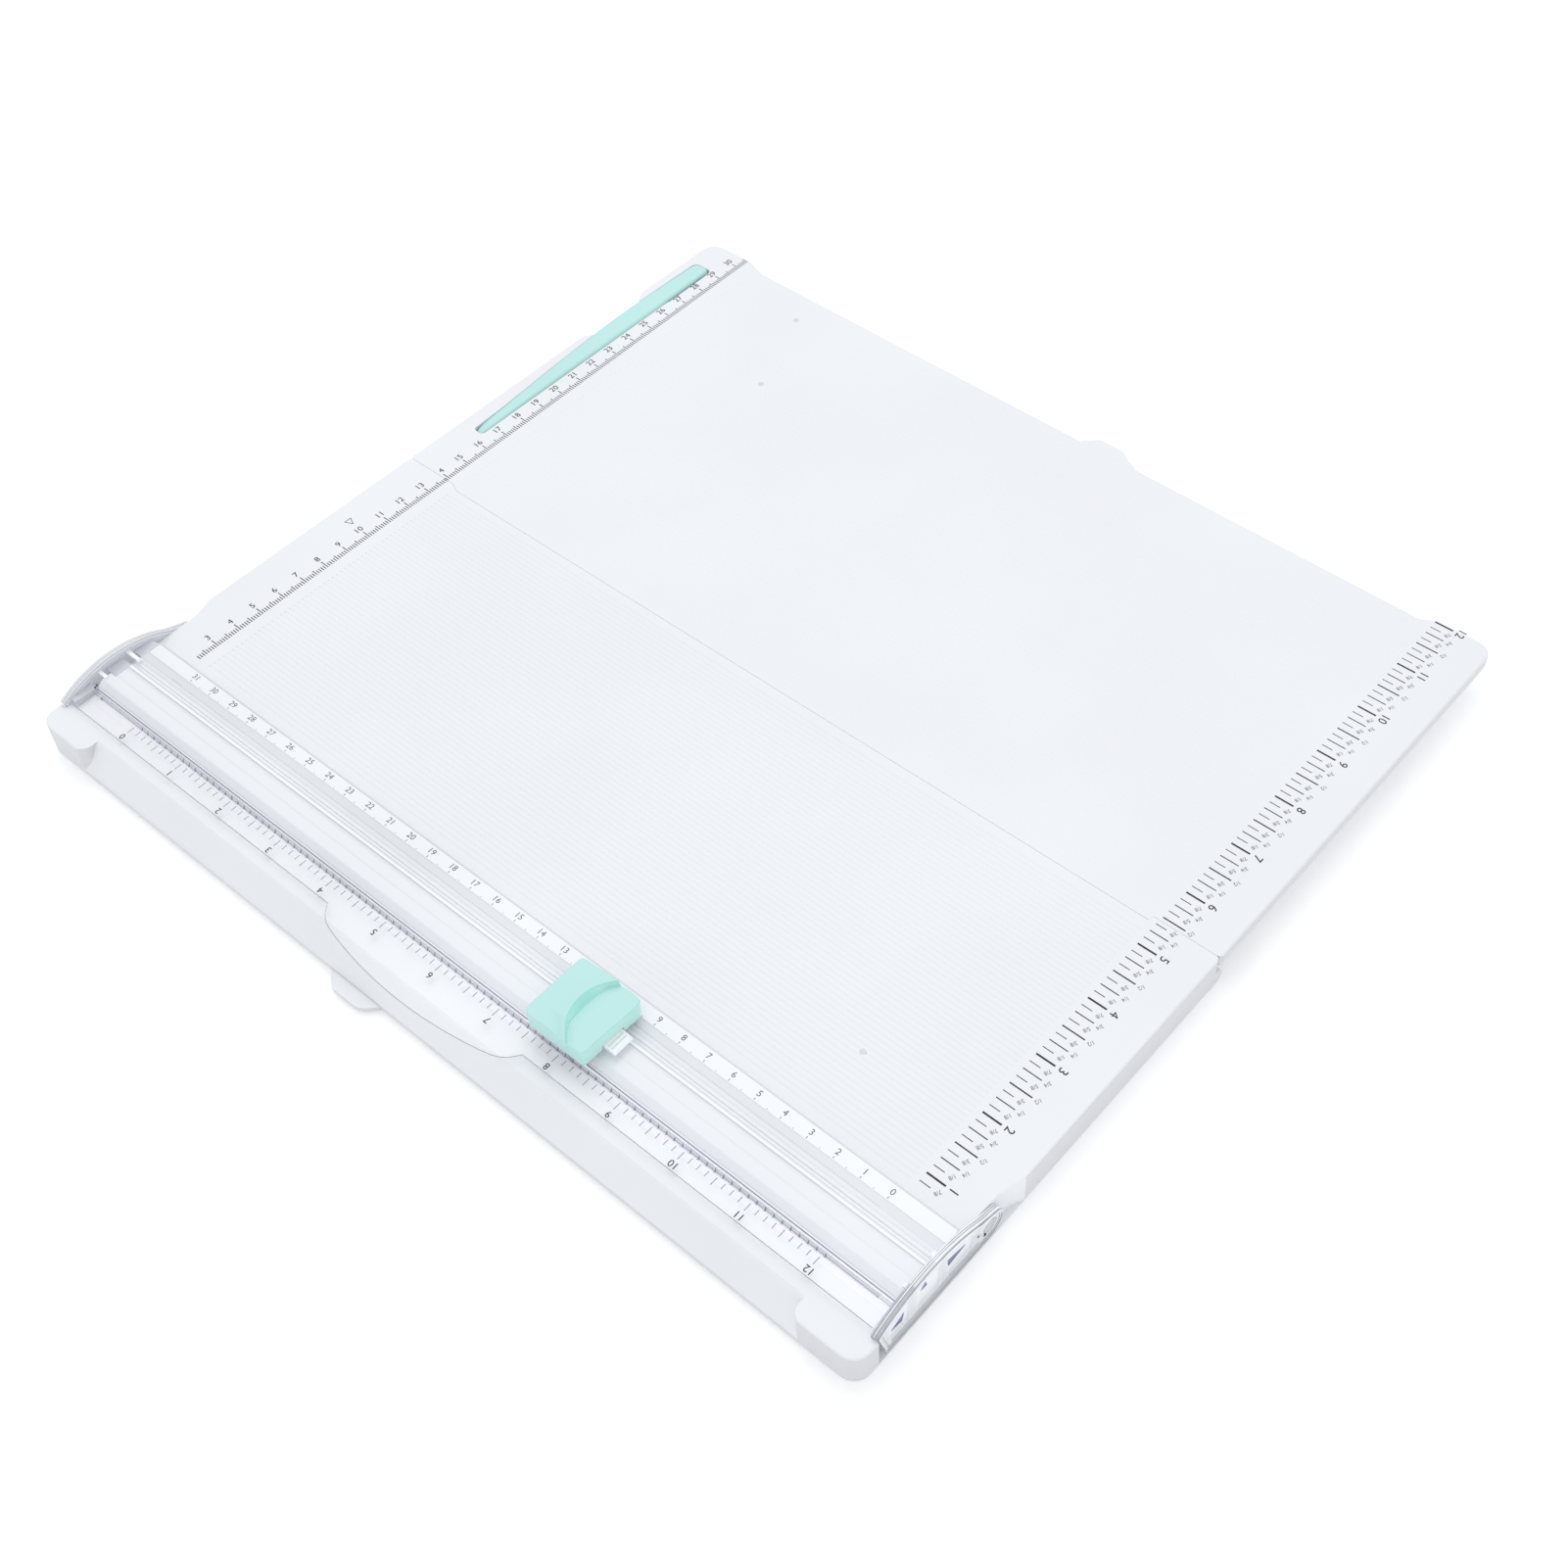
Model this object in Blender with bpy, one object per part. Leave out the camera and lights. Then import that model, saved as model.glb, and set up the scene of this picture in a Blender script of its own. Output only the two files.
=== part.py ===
"""Folding craft board: a 12 inch scoring board whose near half carries a swing-up rail trimmer.

Frame: metres. +X runs along the cutting rail, +Y from the trimmer to the far edge, +Z up.
The origin is at the centre of the footprint, on the table. Lengths below are in millimetres
and are turned into metres by the helpers.
"""

import math

import bmesh
import bpy
from mathutils import Matrix, Vector

MM = 0.001
GAP = 0.3  # clearance kept between touching pieces

# Boards
HALF_WIDTH = 181.0
TOP = 14.5  # height of both working surfaces
FRONT_EDGE = -168.4
SEAM = 2.8
SEAM_GAP = 0.3  # each half stops this far short of the seam line
FAR_EDGE = 168.4
FAR_CORNER_EDGE = 171.2
FAR_CORNER_INNER = 157.0  # the far corners stand proud outside this |x|
CORNER_RADIUS = 6.0
RIM_BOTTOM = 1.0  # underside of the near half, above the table
SKIN = 2.4
FAR_THICKNESS = 5.0
TAB_OFFSET = 21.7  # thumb tabs sit this far either side of the middle
TAB_REACH = 5.6

# Apron in front of the trimmer
APRON_HALF = 157.0
APRON_BACK = -162.2
APRON_LIP_HEIGHT = 3.8

# Fold hinge
HINGE_Z = 4.5
KNUCKLE_RADIUS = 3.4
PIN_RADIUS = 1.25
BORE_RADIUS = 1.55
KNUCKLE_SPANS = ((148.0, 159.6), (160.0, 171.6), (172.0, 181.0))  # near, far, near

# Trimmer arm
ARM_HALF = 175.0
PLATE_BOTTOM = TOP + 0.4
PLATE_TOP = PLATE_BOTTOM + 1.8
PLATE_FRONT = -157.3
PLATE_BACK = -119.9
SLOT_FRONT = -149.4
SLOT_BACK = -147.8
SLOT_HALF = 171.0
TAB_HALF = 43.6
TAB_FRONT = -168.0
RAIL_HALF = 171.8
STRIP_FRONT = -125.9
STRIP_TOP = PLATE_TOP + 1.5
RAIL_FLAT = TOP + 4.2
RAIL_RIB = TOP + 4.55

# End brackets
BRACKET_INNER = 178.3
BRACKET_OUTER = 180.9
ARC_CENTRE = (-136.8, -21.0)
ARC_RADIUS = 43.3
BRACKET_FRONT_TOP = (-158.1, 14.2)
BRACKET_FRONT_FOOT = (-155.6, 2.4)
BRACKET_FOOT = 2.4
PIVOT = (-109.5, 8.3)
HUB_RADIUS = 5.9
RECESS_INNER = 178.0
RECESS_LEDGE = 2.0

# Cutter
CUTTER_X = 50.4
CAP_HALF = 12.25
CAP_FRONT = -150.3
CAP_BACK = -125.1
CAP_BOTTOM = TOP + 6.0
CAP_FLAT = TOP + 12.5
CAP_CREST = TOP + 14.1
SHOE_TOP = TOP + 6.6
BLADE_Y = -148.6
PRESS_TRAVEL = 1.2
CAP_EDGE = 0.6  # bevel round the top of the cap

# Stylus and its tray
STYLUS_NEAR = 29.2
STYLUS_FAR = 158.2
TRAY_FLOOR = 11.2
NOTCH = (98.0, 126.0)
NOTCH_INNER = -177.2


def clear_scene():
    for item in list(bpy.data.objects):
        bpy.data.objects.remove(item)


def material(name, colour, roughness=0.4, metallic=0.0, alpha=1.0):
    """A plain Principled material."""
    mat = bpy.data.materials.get(name)
    if mat is None:
        mat = bpy.data.materials.new(name)
        mat.use_nodes = True
        shader = mat.node_tree.nodes["Principled BSDF"]
        shader.inputs["Base Color"].default_value = (*colour, 1.0)
        shader.inputs["Roughness"].default_value = roughness
        shader.inputs["Metallic"].default_value = metallic
        shader.inputs["Alpha"].default_value = alpha
    return mat


def white():
    return material("white_plastic", (0.86, 0.87, 0.90), 0.35)


def clear():
    return material("clear_plastic", (0.82, 0.85, 0.95), 0.08, 0.0, 0.4)


def frosted():
    return material("frosted_plastic", (0.84, 0.86, 0.90), 0.25)


def mint():
    return material("mint_plastic", (0.36, 0.80, 0.70), 0.35)


def rubber():
    return material("grey_rubber", (0.30, 0.31, 0.33), 0.8)


def steel():
    return material("steel", (0.62, 0.63, 0.65), 0.25, 1.0)


def add_object(name, bm, mat, smooth=0.0):
    """Turns a bmesh in millimetres into a linked object in metres."""
    bmesh.ops.recalc_face_normals(bm, faces=bm.faces)
    bm.transform(Matrix.Scale(MM, 4))
    mesh = bpy.data.meshes.new(name)
    bm.to_mesh(mesh)
    bm.free()
    if smooth:
        mesh.shade_smooth()
        mesh.set_sharp_from_angle(angle=math.radians(smooth))
    obj = bpy.data.objects.new(name, mesh)
    bpy.context.scene.collection.objects.link(obj)
    if mat:
        obj.data.materials.append(mat)
    return obj


def add_prism(bm, outline, low, high, axis):
    """Adds a prism to bm. The outline lies in the plane across the axis, in X, Y, Z order."""
    places = {"X": (1, 2, 0), "Y": (0, 2, 1), "Z": (0, 1, 2)}[axis]

    def ring(level):
        verts = []
        for a, b in outline:
            co = [0.0, 0.0, 0.0]
            co[places[0]], co[places[1]], co[places[2]] = a, b, level
            verts.append(bm.verts.new(co))
        return verts

    bottom, top = ring(low), ring(high)
    count = len(outline)
    bm.faces.new(bottom)
    bm.faces.new(top)
    for i in range(count):
        j = (i + 1) % count
        bm.faces.new((bottom[i], bottom[j], top[j], top[i]))


def add_box(bm, x, y, z):
    add_prism(bm, ((x[0], y[0]), (x[1], y[0]), (x[1], y[1]), (x[0], y[1])), z[0], z[1], "Z")


def circle(centre, radius, count=20, start=0.0, sweep=360.0):
    """Points round a circle or, for a smaller sweep, along an arc with both ends."""
    full = abs(sweep) >= 360.0
    steps = count if full else count - 1
    points = []
    for i in range(count):
        angle = math.radians(start + sweep * i / steps)
        points.append((centre[0] + radius * math.cos(angle), centre[1] + radius * math.sin(angle)))
    return points


def rounded(points, radii, steps=4):
    """Rounds the corners of a closed outline, each by its own radius."""
    out = []
    count = len(points)
    for i, point in enumerate(points):
        radius = radii[i] if isinstance(radii, (list, tuple)) else radii
        if radius <= 0:
            out.append(point)
            continue
        here = Vector(point)
        before = (Vector(points[i - 1]) - here).normalized()
        after = (Vector(points[(i + 1) % count]) - here).normalized()
        half = before.angle(after) / 2
        reach = radius / math.tan(half)
        start, end = here + before * reach, here + after * reach
        centre = here + (before + after).normalized() * (radius / math.sin(half))
        first = math.atan2(start.y - centre.y, start.x - centre.x)
        turn = math.atan2(end.y - centre.y, end.x - centre.x) - first
        turn = (turn + math.pi) % (2 * math.pi) - math.pi
        for k in range(steps + 1):
            angle = first + turn * k / steps
            out.append((centre.x + radius * math.cos(angle), centre.y + radius * math.sin(angle)))
    return out


def tool(name, bm):
    """A hidden object that a Boolean uses."""
    obj = add_object(name, bm, None)
    obj.hide_render = True
    obj.display_type = "WIRE"
    return obj


def boolean(obj, other, operation):
    modifier = obj.modifiers.new(f"{operation.lower()}_{other.name}", "BOOLEAN")
    modifier.operation = operation
    modifier.solver = "EXACT"
    modifier.object = other
    return obj


def bevel(obj, width, segments=2, angle=40.0):
    modifier = obj.modifiers.new("bevel", "BEVEL")
    modifier.width = width * MM
    modifier.segments = segments
    modifier.limit_method = "ANGLE"
    modifier.angle_limit = math.radians(angle)
    modifier.use_clamp_overlap = True
    return obj


def thumb_tab(centre, edge, direction):
    """Outline of a rounded thumb tab that reaches out from an edge."""
    root = edge - direction * 2.0
    tip = edge + direction * TAB_REACH
    points = [(-11.5, root), (-11.5, edge), (-6.5, tip), (6.5, tip), (11.5, edge), (11.5, root)]
    points = [(centre + x, y) for x, y in points]
    return rounded(points, [0, 0, 4.0, 4.0, 0, 0])


def near_outline():
    points = [
        (-HALF_WIDTH, FRONT_EDGE),
        (HALF_WIDTH, FRONT_EDGE),
        (HALF_WIDTH, SEAM - SEAM_GAP),
        (-HALF_WIDTH, SEAM - SEAM_GAP),
    ]
    return rounded(points, [CORNER_RADIUS, CORNER_RADIUS, 0, 0], 6)


def cover_screw_places():
    """Six screws hold the bottom cover: three along each long side."""
    return [(x, y) for y in (-152.0, -10.0) for x in (-140.0, 0.0, 140.0)]


def base_foot_places():
    return [(x, y) for y in (-150.0, -20.0) for x in (-166.0, 166.0)]


def far_foot_places():
    return [(-150.0, 140.0), (150.0, 140.0)]


def both_sides(low, high):
    """The span from low to high, mirrored to each side of the middle."""
    return (-high, -low), (low, high)


def cut_top_of_base(board):
    """The sloped apron and the groove that holds the cutting strip."""
    bm = bmesh.new()
    apron = [
        (APRON_BACK, TOP + 1),
        (APRON_BACK, TOP),
        (FRONT_EDGE, APRON_LIP_HEIGHT),
        (FRONT_EDGE - 3, APRON_LIP_HEIGHT),
        (FRONT_EDGE - 3, TOP + 1),
    ]
    add_prism(bm, apron, -APRON_HALF, APRON_HALF, "X")
    add_box(bm, (-172.8, 172.8), (-151.6, -145.6), (TOP - 1.8, TOP + 1))
    boolean(board, tool("cut_top", bm), "DIFFERENCE")


def cut_bracket_recesses(board):
    """Recesses in the side edges, open above, where the arm's end brackets swing."""
    bm = bmesh.new()
    for side in (-1, 1):
        plan = [
            (side * RECESS_INNER, -160.2),
            (side * (HALF_WIDTH + 2), -160.2),
            (side * (HALF_WIDTH + 2), -93.4),
            (side * HALF_WIDTH, -93.8),
            (side * RECESS_INNER, -102.2),
        ]
        add_prism(bm, plan, RECESS_LEDGE, TOP + 2, "Z")
    boolean(board, tool("cut_recesses", bm), "DIFFERENCE")


def hollow_base(board):
    """The hollow above the bottom cover, in three bays, and the seat that the cover sits in."""
    bm = bmesh.new()
    bay = [(-164.6, 3.0), (-160.3, 10.8), (-145.0, 10.8), (-145.0, 3.0)]
    add_prism(bm, bay, -175.2, 175.2, "X")
    boolean(board, tool("cut_front_bay", bm), "DIFFERENCE")
    bm = bmesh.new()
    ceiling = TOP - SKIN
    add_box(bm, (-175.2, 175.2), (-143.2, -77.0), (3.0, ceiling))
    add_box(bm, (-178.4, 178.4), (-75.2, -1.4), (3.0, ceiling))
    boolean(board, tool("cut_rear_bays", bm), "DIFFERENCE")
    bm = bmesh.new()
    add_box(bm, (-175.2, 175.2), (-166.0, -1.4), (0.0, 3.4))
    boolean(board, tool("cut_cover_seat", bm), "DIFFERENCE")


def shape_hinge_side(board):
    """Ways for the far half's knuckles, the near half's own knuckles, and the bores."""
    bm = bmesh.new()
    for low, high in both_sides(159.7, 171.9):
        add_box(bm, (low, high), (SEAM - 4.2, SEAM + 2), (0.0, 8.6))
    boolean(board, tool("cut_hinge_ways", bm), "DIFFERENCE")
    bm = bmesh.new()
    shape = circle((SEAM, HINGE_Z), KNUCKLE_RADIUS, 13, -90.0, 180.0)
    shape += [(SEAM - 2.6, HINGE_Z + KNUCKLE_RADIUS), (SEAM - 2.6, HINGE_Z - KNUCKLE_RADIUS)]
    for inner, outer in (KNUCKLE_SPANS[0], KNUCKLE_SPANS[2]):
        for low, high in both_sides(inner, outer):
            add_prism(bm, shape, low, high, "X")
    boolean(board, tool("add_knuckles", bm), "UNION")
    bm = bmesh.new()
    for low, high in both_sides(146.0, 182.0):
        add_prism(bm, circle((SEAM, HINGE_Z), BORE_RADIUS, 14), low, high, "X")
    for low, high in both_sides(174.0, 180.0):
        add_prism(bm, circle(PIVOT, 1.85, 16), low, high, "X")
    boolean(board, tool("cut_pin_bores", bm), "DIFFERENCE")


def make_base_board():
    """The thick near half: a top shell with corner blocks, apron and bracket recesses."""
    bm = bmesh.new()
    outline = [
        (-HALF_WIDTH, FRONT_EDGE),
        (HALF_WIDTH, FRONT_EDGE),
        (HALF_WIDTH, SEAM - SEAM_GAP),
        (-HALF_WIDTH, SEAM - SEAM_GAP),
    ]
    add_prism(bm, rounded(outline, [CORNER_RADIUS, CORNER_RADIUS, 0, 0], 6), RIM_BOTTOM, TOP, "Z")
    board = add_object("base_board", bm, white())
    cut_top_of_base(board)
    cut_bracket_recesses(board)
    hollow_base(board)
    shape_hinge_side(board)
    bm = bmesh.new()
    add_prism(bm, thumb_tab(-TAB_OFFSET, FRONT_EDGE, -1), RIM_BOTTOM, RIM_BOTTOM + 1.8, "Z")
    for x, y in cover_screw_places():
        height = 11.3 if y < -145 else TOP - SKIN + 0.5
        add_prism(bm, circle((x, y), 3.2, 12), 3.4, height, "Z")
    boolean(board, tool("add_bosses", bm), "UNION")
    bm = bmesh.new()
    for x, y in cover_screw_places():
        add_prism(bm, circle((x, y), 1.5, 10), 2.0, 9.5, "Z")
    boolean(board, tool("cut_screw_bores", bm), "DIFFERENCE")


def make_bottom_cover():
    """Plate that closes the near half from below, with wells for the far feet and screw holes."""
    bm = bmesh.new()
    outline = [(-174.8, -165.6), (174.8, -165.6), (174.8, -1.8), (-174.8, -1.8)]
    add_prism(bm, rounded(outline, 2.0), RIM_BOTTOM + 0.2, RIM_BOTTOM + 2.1, "Z")
    cover = add_object("bottom_cover", bm, white())
    bm = bmesh.new()
    for x, y in far_foot_places():
        add_prism(bm, circle((x, 2 * SEAM - y), 7.6, 20), 0.0, 5.0, "Z")
    for x, y in cover_screw_places():
        add_prism(bm, circle((x, y), 1.8, 10), 0.0, 5.0, "Z")
    boolean(cover, tool("cut_cover_holes", bm), "DIFFERENCE")
    bm = bmesh.new()
    for x, y in cover_screw_places():
        add_prism(bm, circle((x, y), 3.3, 14), 0.0, 2.3, "Z")
    boolean(cover, tool("cut_cover_counterbores", bm), "DIFFERENCE")


def make_cover_screws():
    for index, (x, y) in enumerate(cover_screw_places()):
        bm = bmesh.new()
        profile = [(0.0, 1.3), (2.8, 1.3), (2.8, 1.7), (2.4, 2.0), (1.2, 2.0), (1.2, 8.2), (0.0, 9.0)]
        add_turned(bm, profile, (x, y), 12)
        add_object(f"cover_screw_{index + 1}", bm, steel(), 35)


def add_turned(bm, profile, centre, count):
    """Turns a profile of (radius, height) points about a vertical line."""
    rings = []
    for radius, height in profile:
        if radius == 0.0:
            rings.append([bm.verts.new((*centre, height))])
            continue
        ring = [bm.verts.new((x, y, height)) for x, y in circle(centre, radius, count)]
        rings.append(ring)
    for lower, upper in zip(rings, rings[1:]):
        for i in range(count):
            j = (i + 1) % count
            if len(lower) == 1:
                bm.faces.new((lower[0], upper[j], upper[i]))
            elif len(upper) == 1:
                bm.faces.new((lower[i], lower[j], upper[0]))
            else:
                bm.faces.new((lower[i], lower[j], upper[j], upper[i]))


def make_feet():
    """Rubber pads under the near half's cover and under the far half's posts."""
    profile = [(0.0, 0.0), (4.6, 0.0), (5.4, 0.25), (5.4, 0.9), (0.0, 0.9)]
    for index, place in enumerate(base_foot_places()):
        bm = bmesh.new()
        add_turned(bm, profile, place, 16)
        add_object(f"base_foot_{index + 1}", bm, rubber(), 35)
    profile = [(0.0, 0.0), (4.2, 0.0), (5.0, 0.3), (5.0, 1.2), (0.0, 1.2)]
    for index, place in enumerate(far_foot_places()):
        bm = bmesh.new()
        add_turned(bm, profile, place, 16)
        add_object(f"far_foot_{index + 1}", bm, rubber(), 35)


def make_cutting_strip():
    """Replaceable strip under the blade, with a shallow groove along the cut line."""
    top, bottom = TOP - 0.05, TOP - 1.5
    slot = (SLOT_FRONT + SLOT_BACK) / 2
    outline = [
        (-151.3, bottom), (-145.9, bottom), (-145.9, top), (slot + 0.6, top),
        (slot + 0.3, top - 1.0), (slot - 0.3, top - 1.0), (slot - 0.6, top), (-151.3, top),
    ]
    bm = bmesh.new()
    add_prism(bm, outline, -172.4, 172.4, "X")
    add_object("cutting_strip", bm, frosted())


def make_pins():
    for side, (low, high) in zip(("left", "right"), both_sides(147.0, 180.6)):
        bm = bmesh.new()
        add_prism(bm, circle((SEAM, HINGE_Z), PIN_RADIUS, 14), low, high, "X")
        add_object(f"{side}_hinge_pin", bm, steel(), 35)
    for sign, side in ((-1, "left"), (1, "right")):
        bm = bmesh.new()
        low, high = sorted((sign * 172.0, sign * 179.7))
        add_prism(bm, circle(PIVOT, 1.5, 16), low, high, "X")
        pin = add_object(f"{side}_pivot_pin", bm, steel(), 35)
        bm = bmesh.new()
        low, high = sorted((sign * 179.5, sign * 180.4))
        add_prism(bm, circle(PIVOT, 2.5, 16), low, high, "X")
        boolean(pin, tool(f"{side}_pin_head", bm), "UNION")


def stylus_outline(grow):
    """Plan of the stylus: a straight inner edge and a gently bowed outer edge."""
    inner = -169.4 + grow
    outer = [
        (-173.6, STYLUS_NEAR - grow), (-174.2, 45.0), (-176.2, 72.0), (-177.7, 98.0),
        (-178.3, 118.0), (-178.0, 136.0), (-177.4, STYLUS_FAR + grow),
    ]
    points = [(inner, STYLUS_NEAR - grow), (inner, STYLUS_FAR + grow)]
    points += [(x - grow, y) for x, y in reversed(outer)]
    return rounded(points, [1.2, 1.6, 1.8, 0, 0, 0, 0, 0, 1.2], 3)


def make_stylus():
    bm = bmesh.new()
    add_prism(bm, stylus_outline(0.0), TRAY_FLOOR + 0.35, TOP + 0.15, "Z")
    bevel(add_object("stylus", bm, mint()), 1.0, 2, 50)


def cut_stylus_tray(board):
    """The tray that the stylus lies in, a finger scoop beside it and the notch in the edge."""
    bm = bmesh.new()
    add_prism(bm, stylus_outline(0.5), TRAY_FLOOR, TOP + 1, "Z")
    boolean(board, tool("cut_tray", bm), "DIFFERENCE")
    bm = bmesh.new()
    scoop = [(-169.8, 129.0), (-168.2, 133.0), (-168.2, 156.5), (-169.8, 157.5)]
    add_prism(bm, scoop, TRAY_FLOOR - 0.2, TOP + 1, "Z")
    near, far = NOTCH
    edge = -HALF_WIDTH
    notch = [(edge - 2, near - 3), (edge, near - 2), (NOTCH_INNER, near + 2), (NOTCH_INNER, far - 3),
             (edge, far + 4), (edge - 2, far + 5)]
    add_prism(bm, notch, 0.0, TOP + 1, "Z")
    boolean(board, tool("cut_scoop_and_notch", bm), "DIFFERENCE")


def make_far_board():
    """The thin far half: scored panel, stylus tray, thumb tab, foot posts and hinge knuckles."""
    near = SEAM + SEAM_GAP
    underside = TOP - FAR_THICKNESS
    inner, step = FAR_CORNER_INNER, 5.0
    outline = [
        (-HALF_WIDTH, near), (HALF_WIDTH, near), (HALF_WIDTH, FAR_CORNER_EDGE),
        (inner + step, FAR_CORNER_EDGE), (inner, FAR_EDGE), (-inner, FAR_EDGE),
        (-inner - step, FAR_CORNER_EDGE), (-HALF_WIDTH, FAR_CORNER_EDGE),
    ]
    radii = [0, 0, CORNER_RADIUS, 2, 2, 2, 2, CORNER_RADIUS]
    bm = bmesh.new()
    add_prism(bm, rounded(outline, radii, 5), underside, TOP, "Z")
    board = add_object("far_board", bm, white())

    bm = bmesh.new()
    ceiling = TOP - SKIN
    for y0, y1 in ((13.0, 87.0), (89.0, 165.0)):
        for x0, x1 in ((-164.0, -56.0), (-54.0, 54.0), (56.0, 176.0)):
            add_box(bm, (x0, x1), (y0, y1), (underside - 1, ceiling))
    boolean(board, tool("cut_far_bays", bm), "DIFFERENCE")
    cut_stylus_tray(board)

    bm = bmesh.new()
    add_prism(bm, thumb_tab(TAB_OFFSET, FAR_EDGE, 1), TOP - 1.8, TOP, "Z")
    for place in far_foot_places():
        add_prism(bm, circle(place, 5.0, 16), 1.5, ceiling + 0.5, "Z")
    knuckle = circle((SEAM, HINGE_Z), KNUCKLE_RADIUS, 19, 0.0, -275.0)
    knuckle += [(SEAM + 0.3, underside + 0.5), (SEAM + KNUCKLE_RADIUS, underside + 0.5)]
    for low, high in both_sides(*KNUCKLE_SPANS[1]):
        add_prism(bm, knuckle, low, high, "X")
    boolean(board, tool("add_far_features", bm), "UNION")
    bm = bmesh.new()
    for low, high in both_sides(150.0, 175.0):
        add_prism(bm, circle((SEAM, HINGE_Z), BORE_RADIUS, 14), low, high, "X")
    boolean(board, tool("cut_far_bores", bm), "DIFFERENCE")


def make_ruler_plate():
    """Clear plate of the arm, with the blade slot and the bowed finger tab in front."""
    half = TAB_HALF
    tab = [
        (half, PLATE_FRONT), (half - 2.4, -162.0), (half - 8.0, -164.6), (half - 18.0, -166.2),
        (0.0, TAB_FRONT), (-half + 18.0, -166.2), (-half + 8.0, -164.6),
        (-half + 2.4, -162.0), (-half, PLATE_FRONT),
    ]
    outline = [(-ARM_HALF, PLATE_FRONT), (-ARM_HALF, PLATE_BACK), (ARM_HALF, PLATE_BACK), (ARM_HALF, PLATE_FRONT)]
    radii = [0, 0, 0, 0, 1.0, 2.4, 6.0, 8.0, 0, 8.0, 6.0, 2.4, 1.0]
    bm = bmesh.new()
    add_prism(bm, rounded(outline + tab, radii, 3), PLATE_BOTTOM, PLATE_TOP, "Z")
    plate = add_object("ruler_plate", bm, clear())
    bm = bmesh.new()
    add_box(bm, (-SLOT_HALF, SLOT_HALF), (SLOT_FRONT, SLOT_BACK), (PLATE_BOTTOM - 1, PLATE_TOP + 1))
    boolean(plate, tool("cut_blade_slot", bm), "DIFFERENCE")


def make_rail_bar():
    """The bar that the cutter rides on: a sloped front flank, a flat and a raised rib."""
    base, flat, rib = PLATE_TOP + GAP, RAIL_FLAT, RAIL_RIB
    outline = [
        (-146.6, base), (-133.2, base), (-133.2, rib - 0.3), (-133.5, rib), (-135.5, rib),
        (-135.8, flat), (-144.6, flat), (-146.6, flat - 1.0),
    ]
    bm = bmesh.new()
    add_prism(bm, outline, -RAIL_HALF, RAIL_HALF, "X")
    add_object("rail_bar", bm, frosted())


def make_scale_strip():
    bm = bmesh.new()
    base = PLATE_TOP + GAP
    back = PLATE_BACK - 0.1
    outline = [(STRIP_FRONT, base), (back, base), (back, STRIP_TOP - 0.4), (back - 0.4, STRIP_TOP),
               (STRIP_FRONT + 0.4, STRIP_TOP), (STRIP_FRONT, STRIP_TOP - 0.4)]
    add_prism(bm, outline, -RAIL_HALF, RAIL_HALF, "X")
    add_object("scale_strip", bm, white())


def bracket_outline(shrink=0.0):
    """Side view of an end bracket: arched top, hub at the back, straight foot."""
    start = math.degrees(math.atan2(BRACKET_FRONT_TOP[1] - ARC_CENTRE[1], BRACKET_FRONT_TOP[0] - ARC_CENTRE[0]))
    end = 58.0
    points = circle(ARC_CENTRE, ARC_RADIUS - shrink, 14, start, end - start)
    hub = circle(PIVOT, HUB_RADIUS - shrink, 9, 52.0, -142.0)
    foot = [(BRACKET_FRONT_FOOT[0] + shrink, BRACKET_FOOT + shrink)]
    return points + hub + foot


def pocket_outlines():
    """Three lightening pockets that follow the arch and leave two ribs between them."""
    outlines = []
    for y0, y1 in ((-153.6, -145.4), (-143.0, -130.6), (-128.2, -116.6)):
        top = []
        for i in range(4):
            y = y1 + (y0 - y1) * i / 3
            rise = math.sqrt((ARC_RADIUS - 2.4) ** 2 - (y - ARC_CENTRE[0]) ** 2)
            top.append((y, ARC_CENTRE[1] + rise))
        outlines.append([(y0 + 0.6, 6.4), (y1 - 0.6, 6.4)] + top)
    return outlines


def make_bracket(side, name):
    low, high = sorted((side * BRACKET_INNER, side * BRACKET_OUTER))
    bm = bmesh.new()
    add_prism(bm, bracket_outline(), low, high, "X")
    bracket = add_object(name, bm, clear())
    bm = bmesh.new()
    ledge = [(-156.6, PLATE_TOP + GAP), (-120.4, PLATE_TOP + GAP), (-120.4, TOP + 3.9), (-156.6, TOP + 3.9)]
    add_prism(bm, ledge, *sorted((side * 172.2, side * (BRACKET_INNER + 0.5))), "X")
    boolean(bracket, tool(f"{name}_ledge", bm), "UNION")
    bm = bmesh.new()
    add_prism(bm, circle(PIVOT, 1.85, 16), *sorted((side * 178.0, side * 182.0)), "X")
    boolean(bracket, tool(f"{name}_bore", bm), "DIFFERENCE")
    bm = bmesh.new()
    add_prism(bm, circle(PIVOT, 2.9, 16), *sorted((side * 179.2, side * 182.0)), "X")
    for outline in pocket_outlines():
        add_prism(bm, outline, *sorted((side * (BRACKET_INNER + 1.0), side * 182.0)), "X")
    boolean(bracket, tool(f"{name}_pockets", bm), "DIFFERENCE")


def make_shoe():
    """Carriage that straddles the rail bar and carries the press-down cap."""
    foot = PLATE_TOP + 0.4
    outline = [
        (-147.9, foot), (-146.95, foot), (-146.95, RAIL_FLAT - 0.6), (-144.8, RAIL_FLAT + 0.35),
        (-136.2, RAIL_FLAT + 0.35), (-136.0, RAIL_RIB + 0.35), (-132.85, RAIL_RIB + 0.35), (-132.85, foot),
        (-131.9, foot), (-131.9, SHOE_TOP), (-147.9, SHOE_TOP),
    ]
    bm = bmesh.new()
    add_prism(bm, outline, CUTTER_X - 10.2, CUTTER_X + 10.2, "X")
    add_object("carriage_shoe", bm, frosted())


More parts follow.
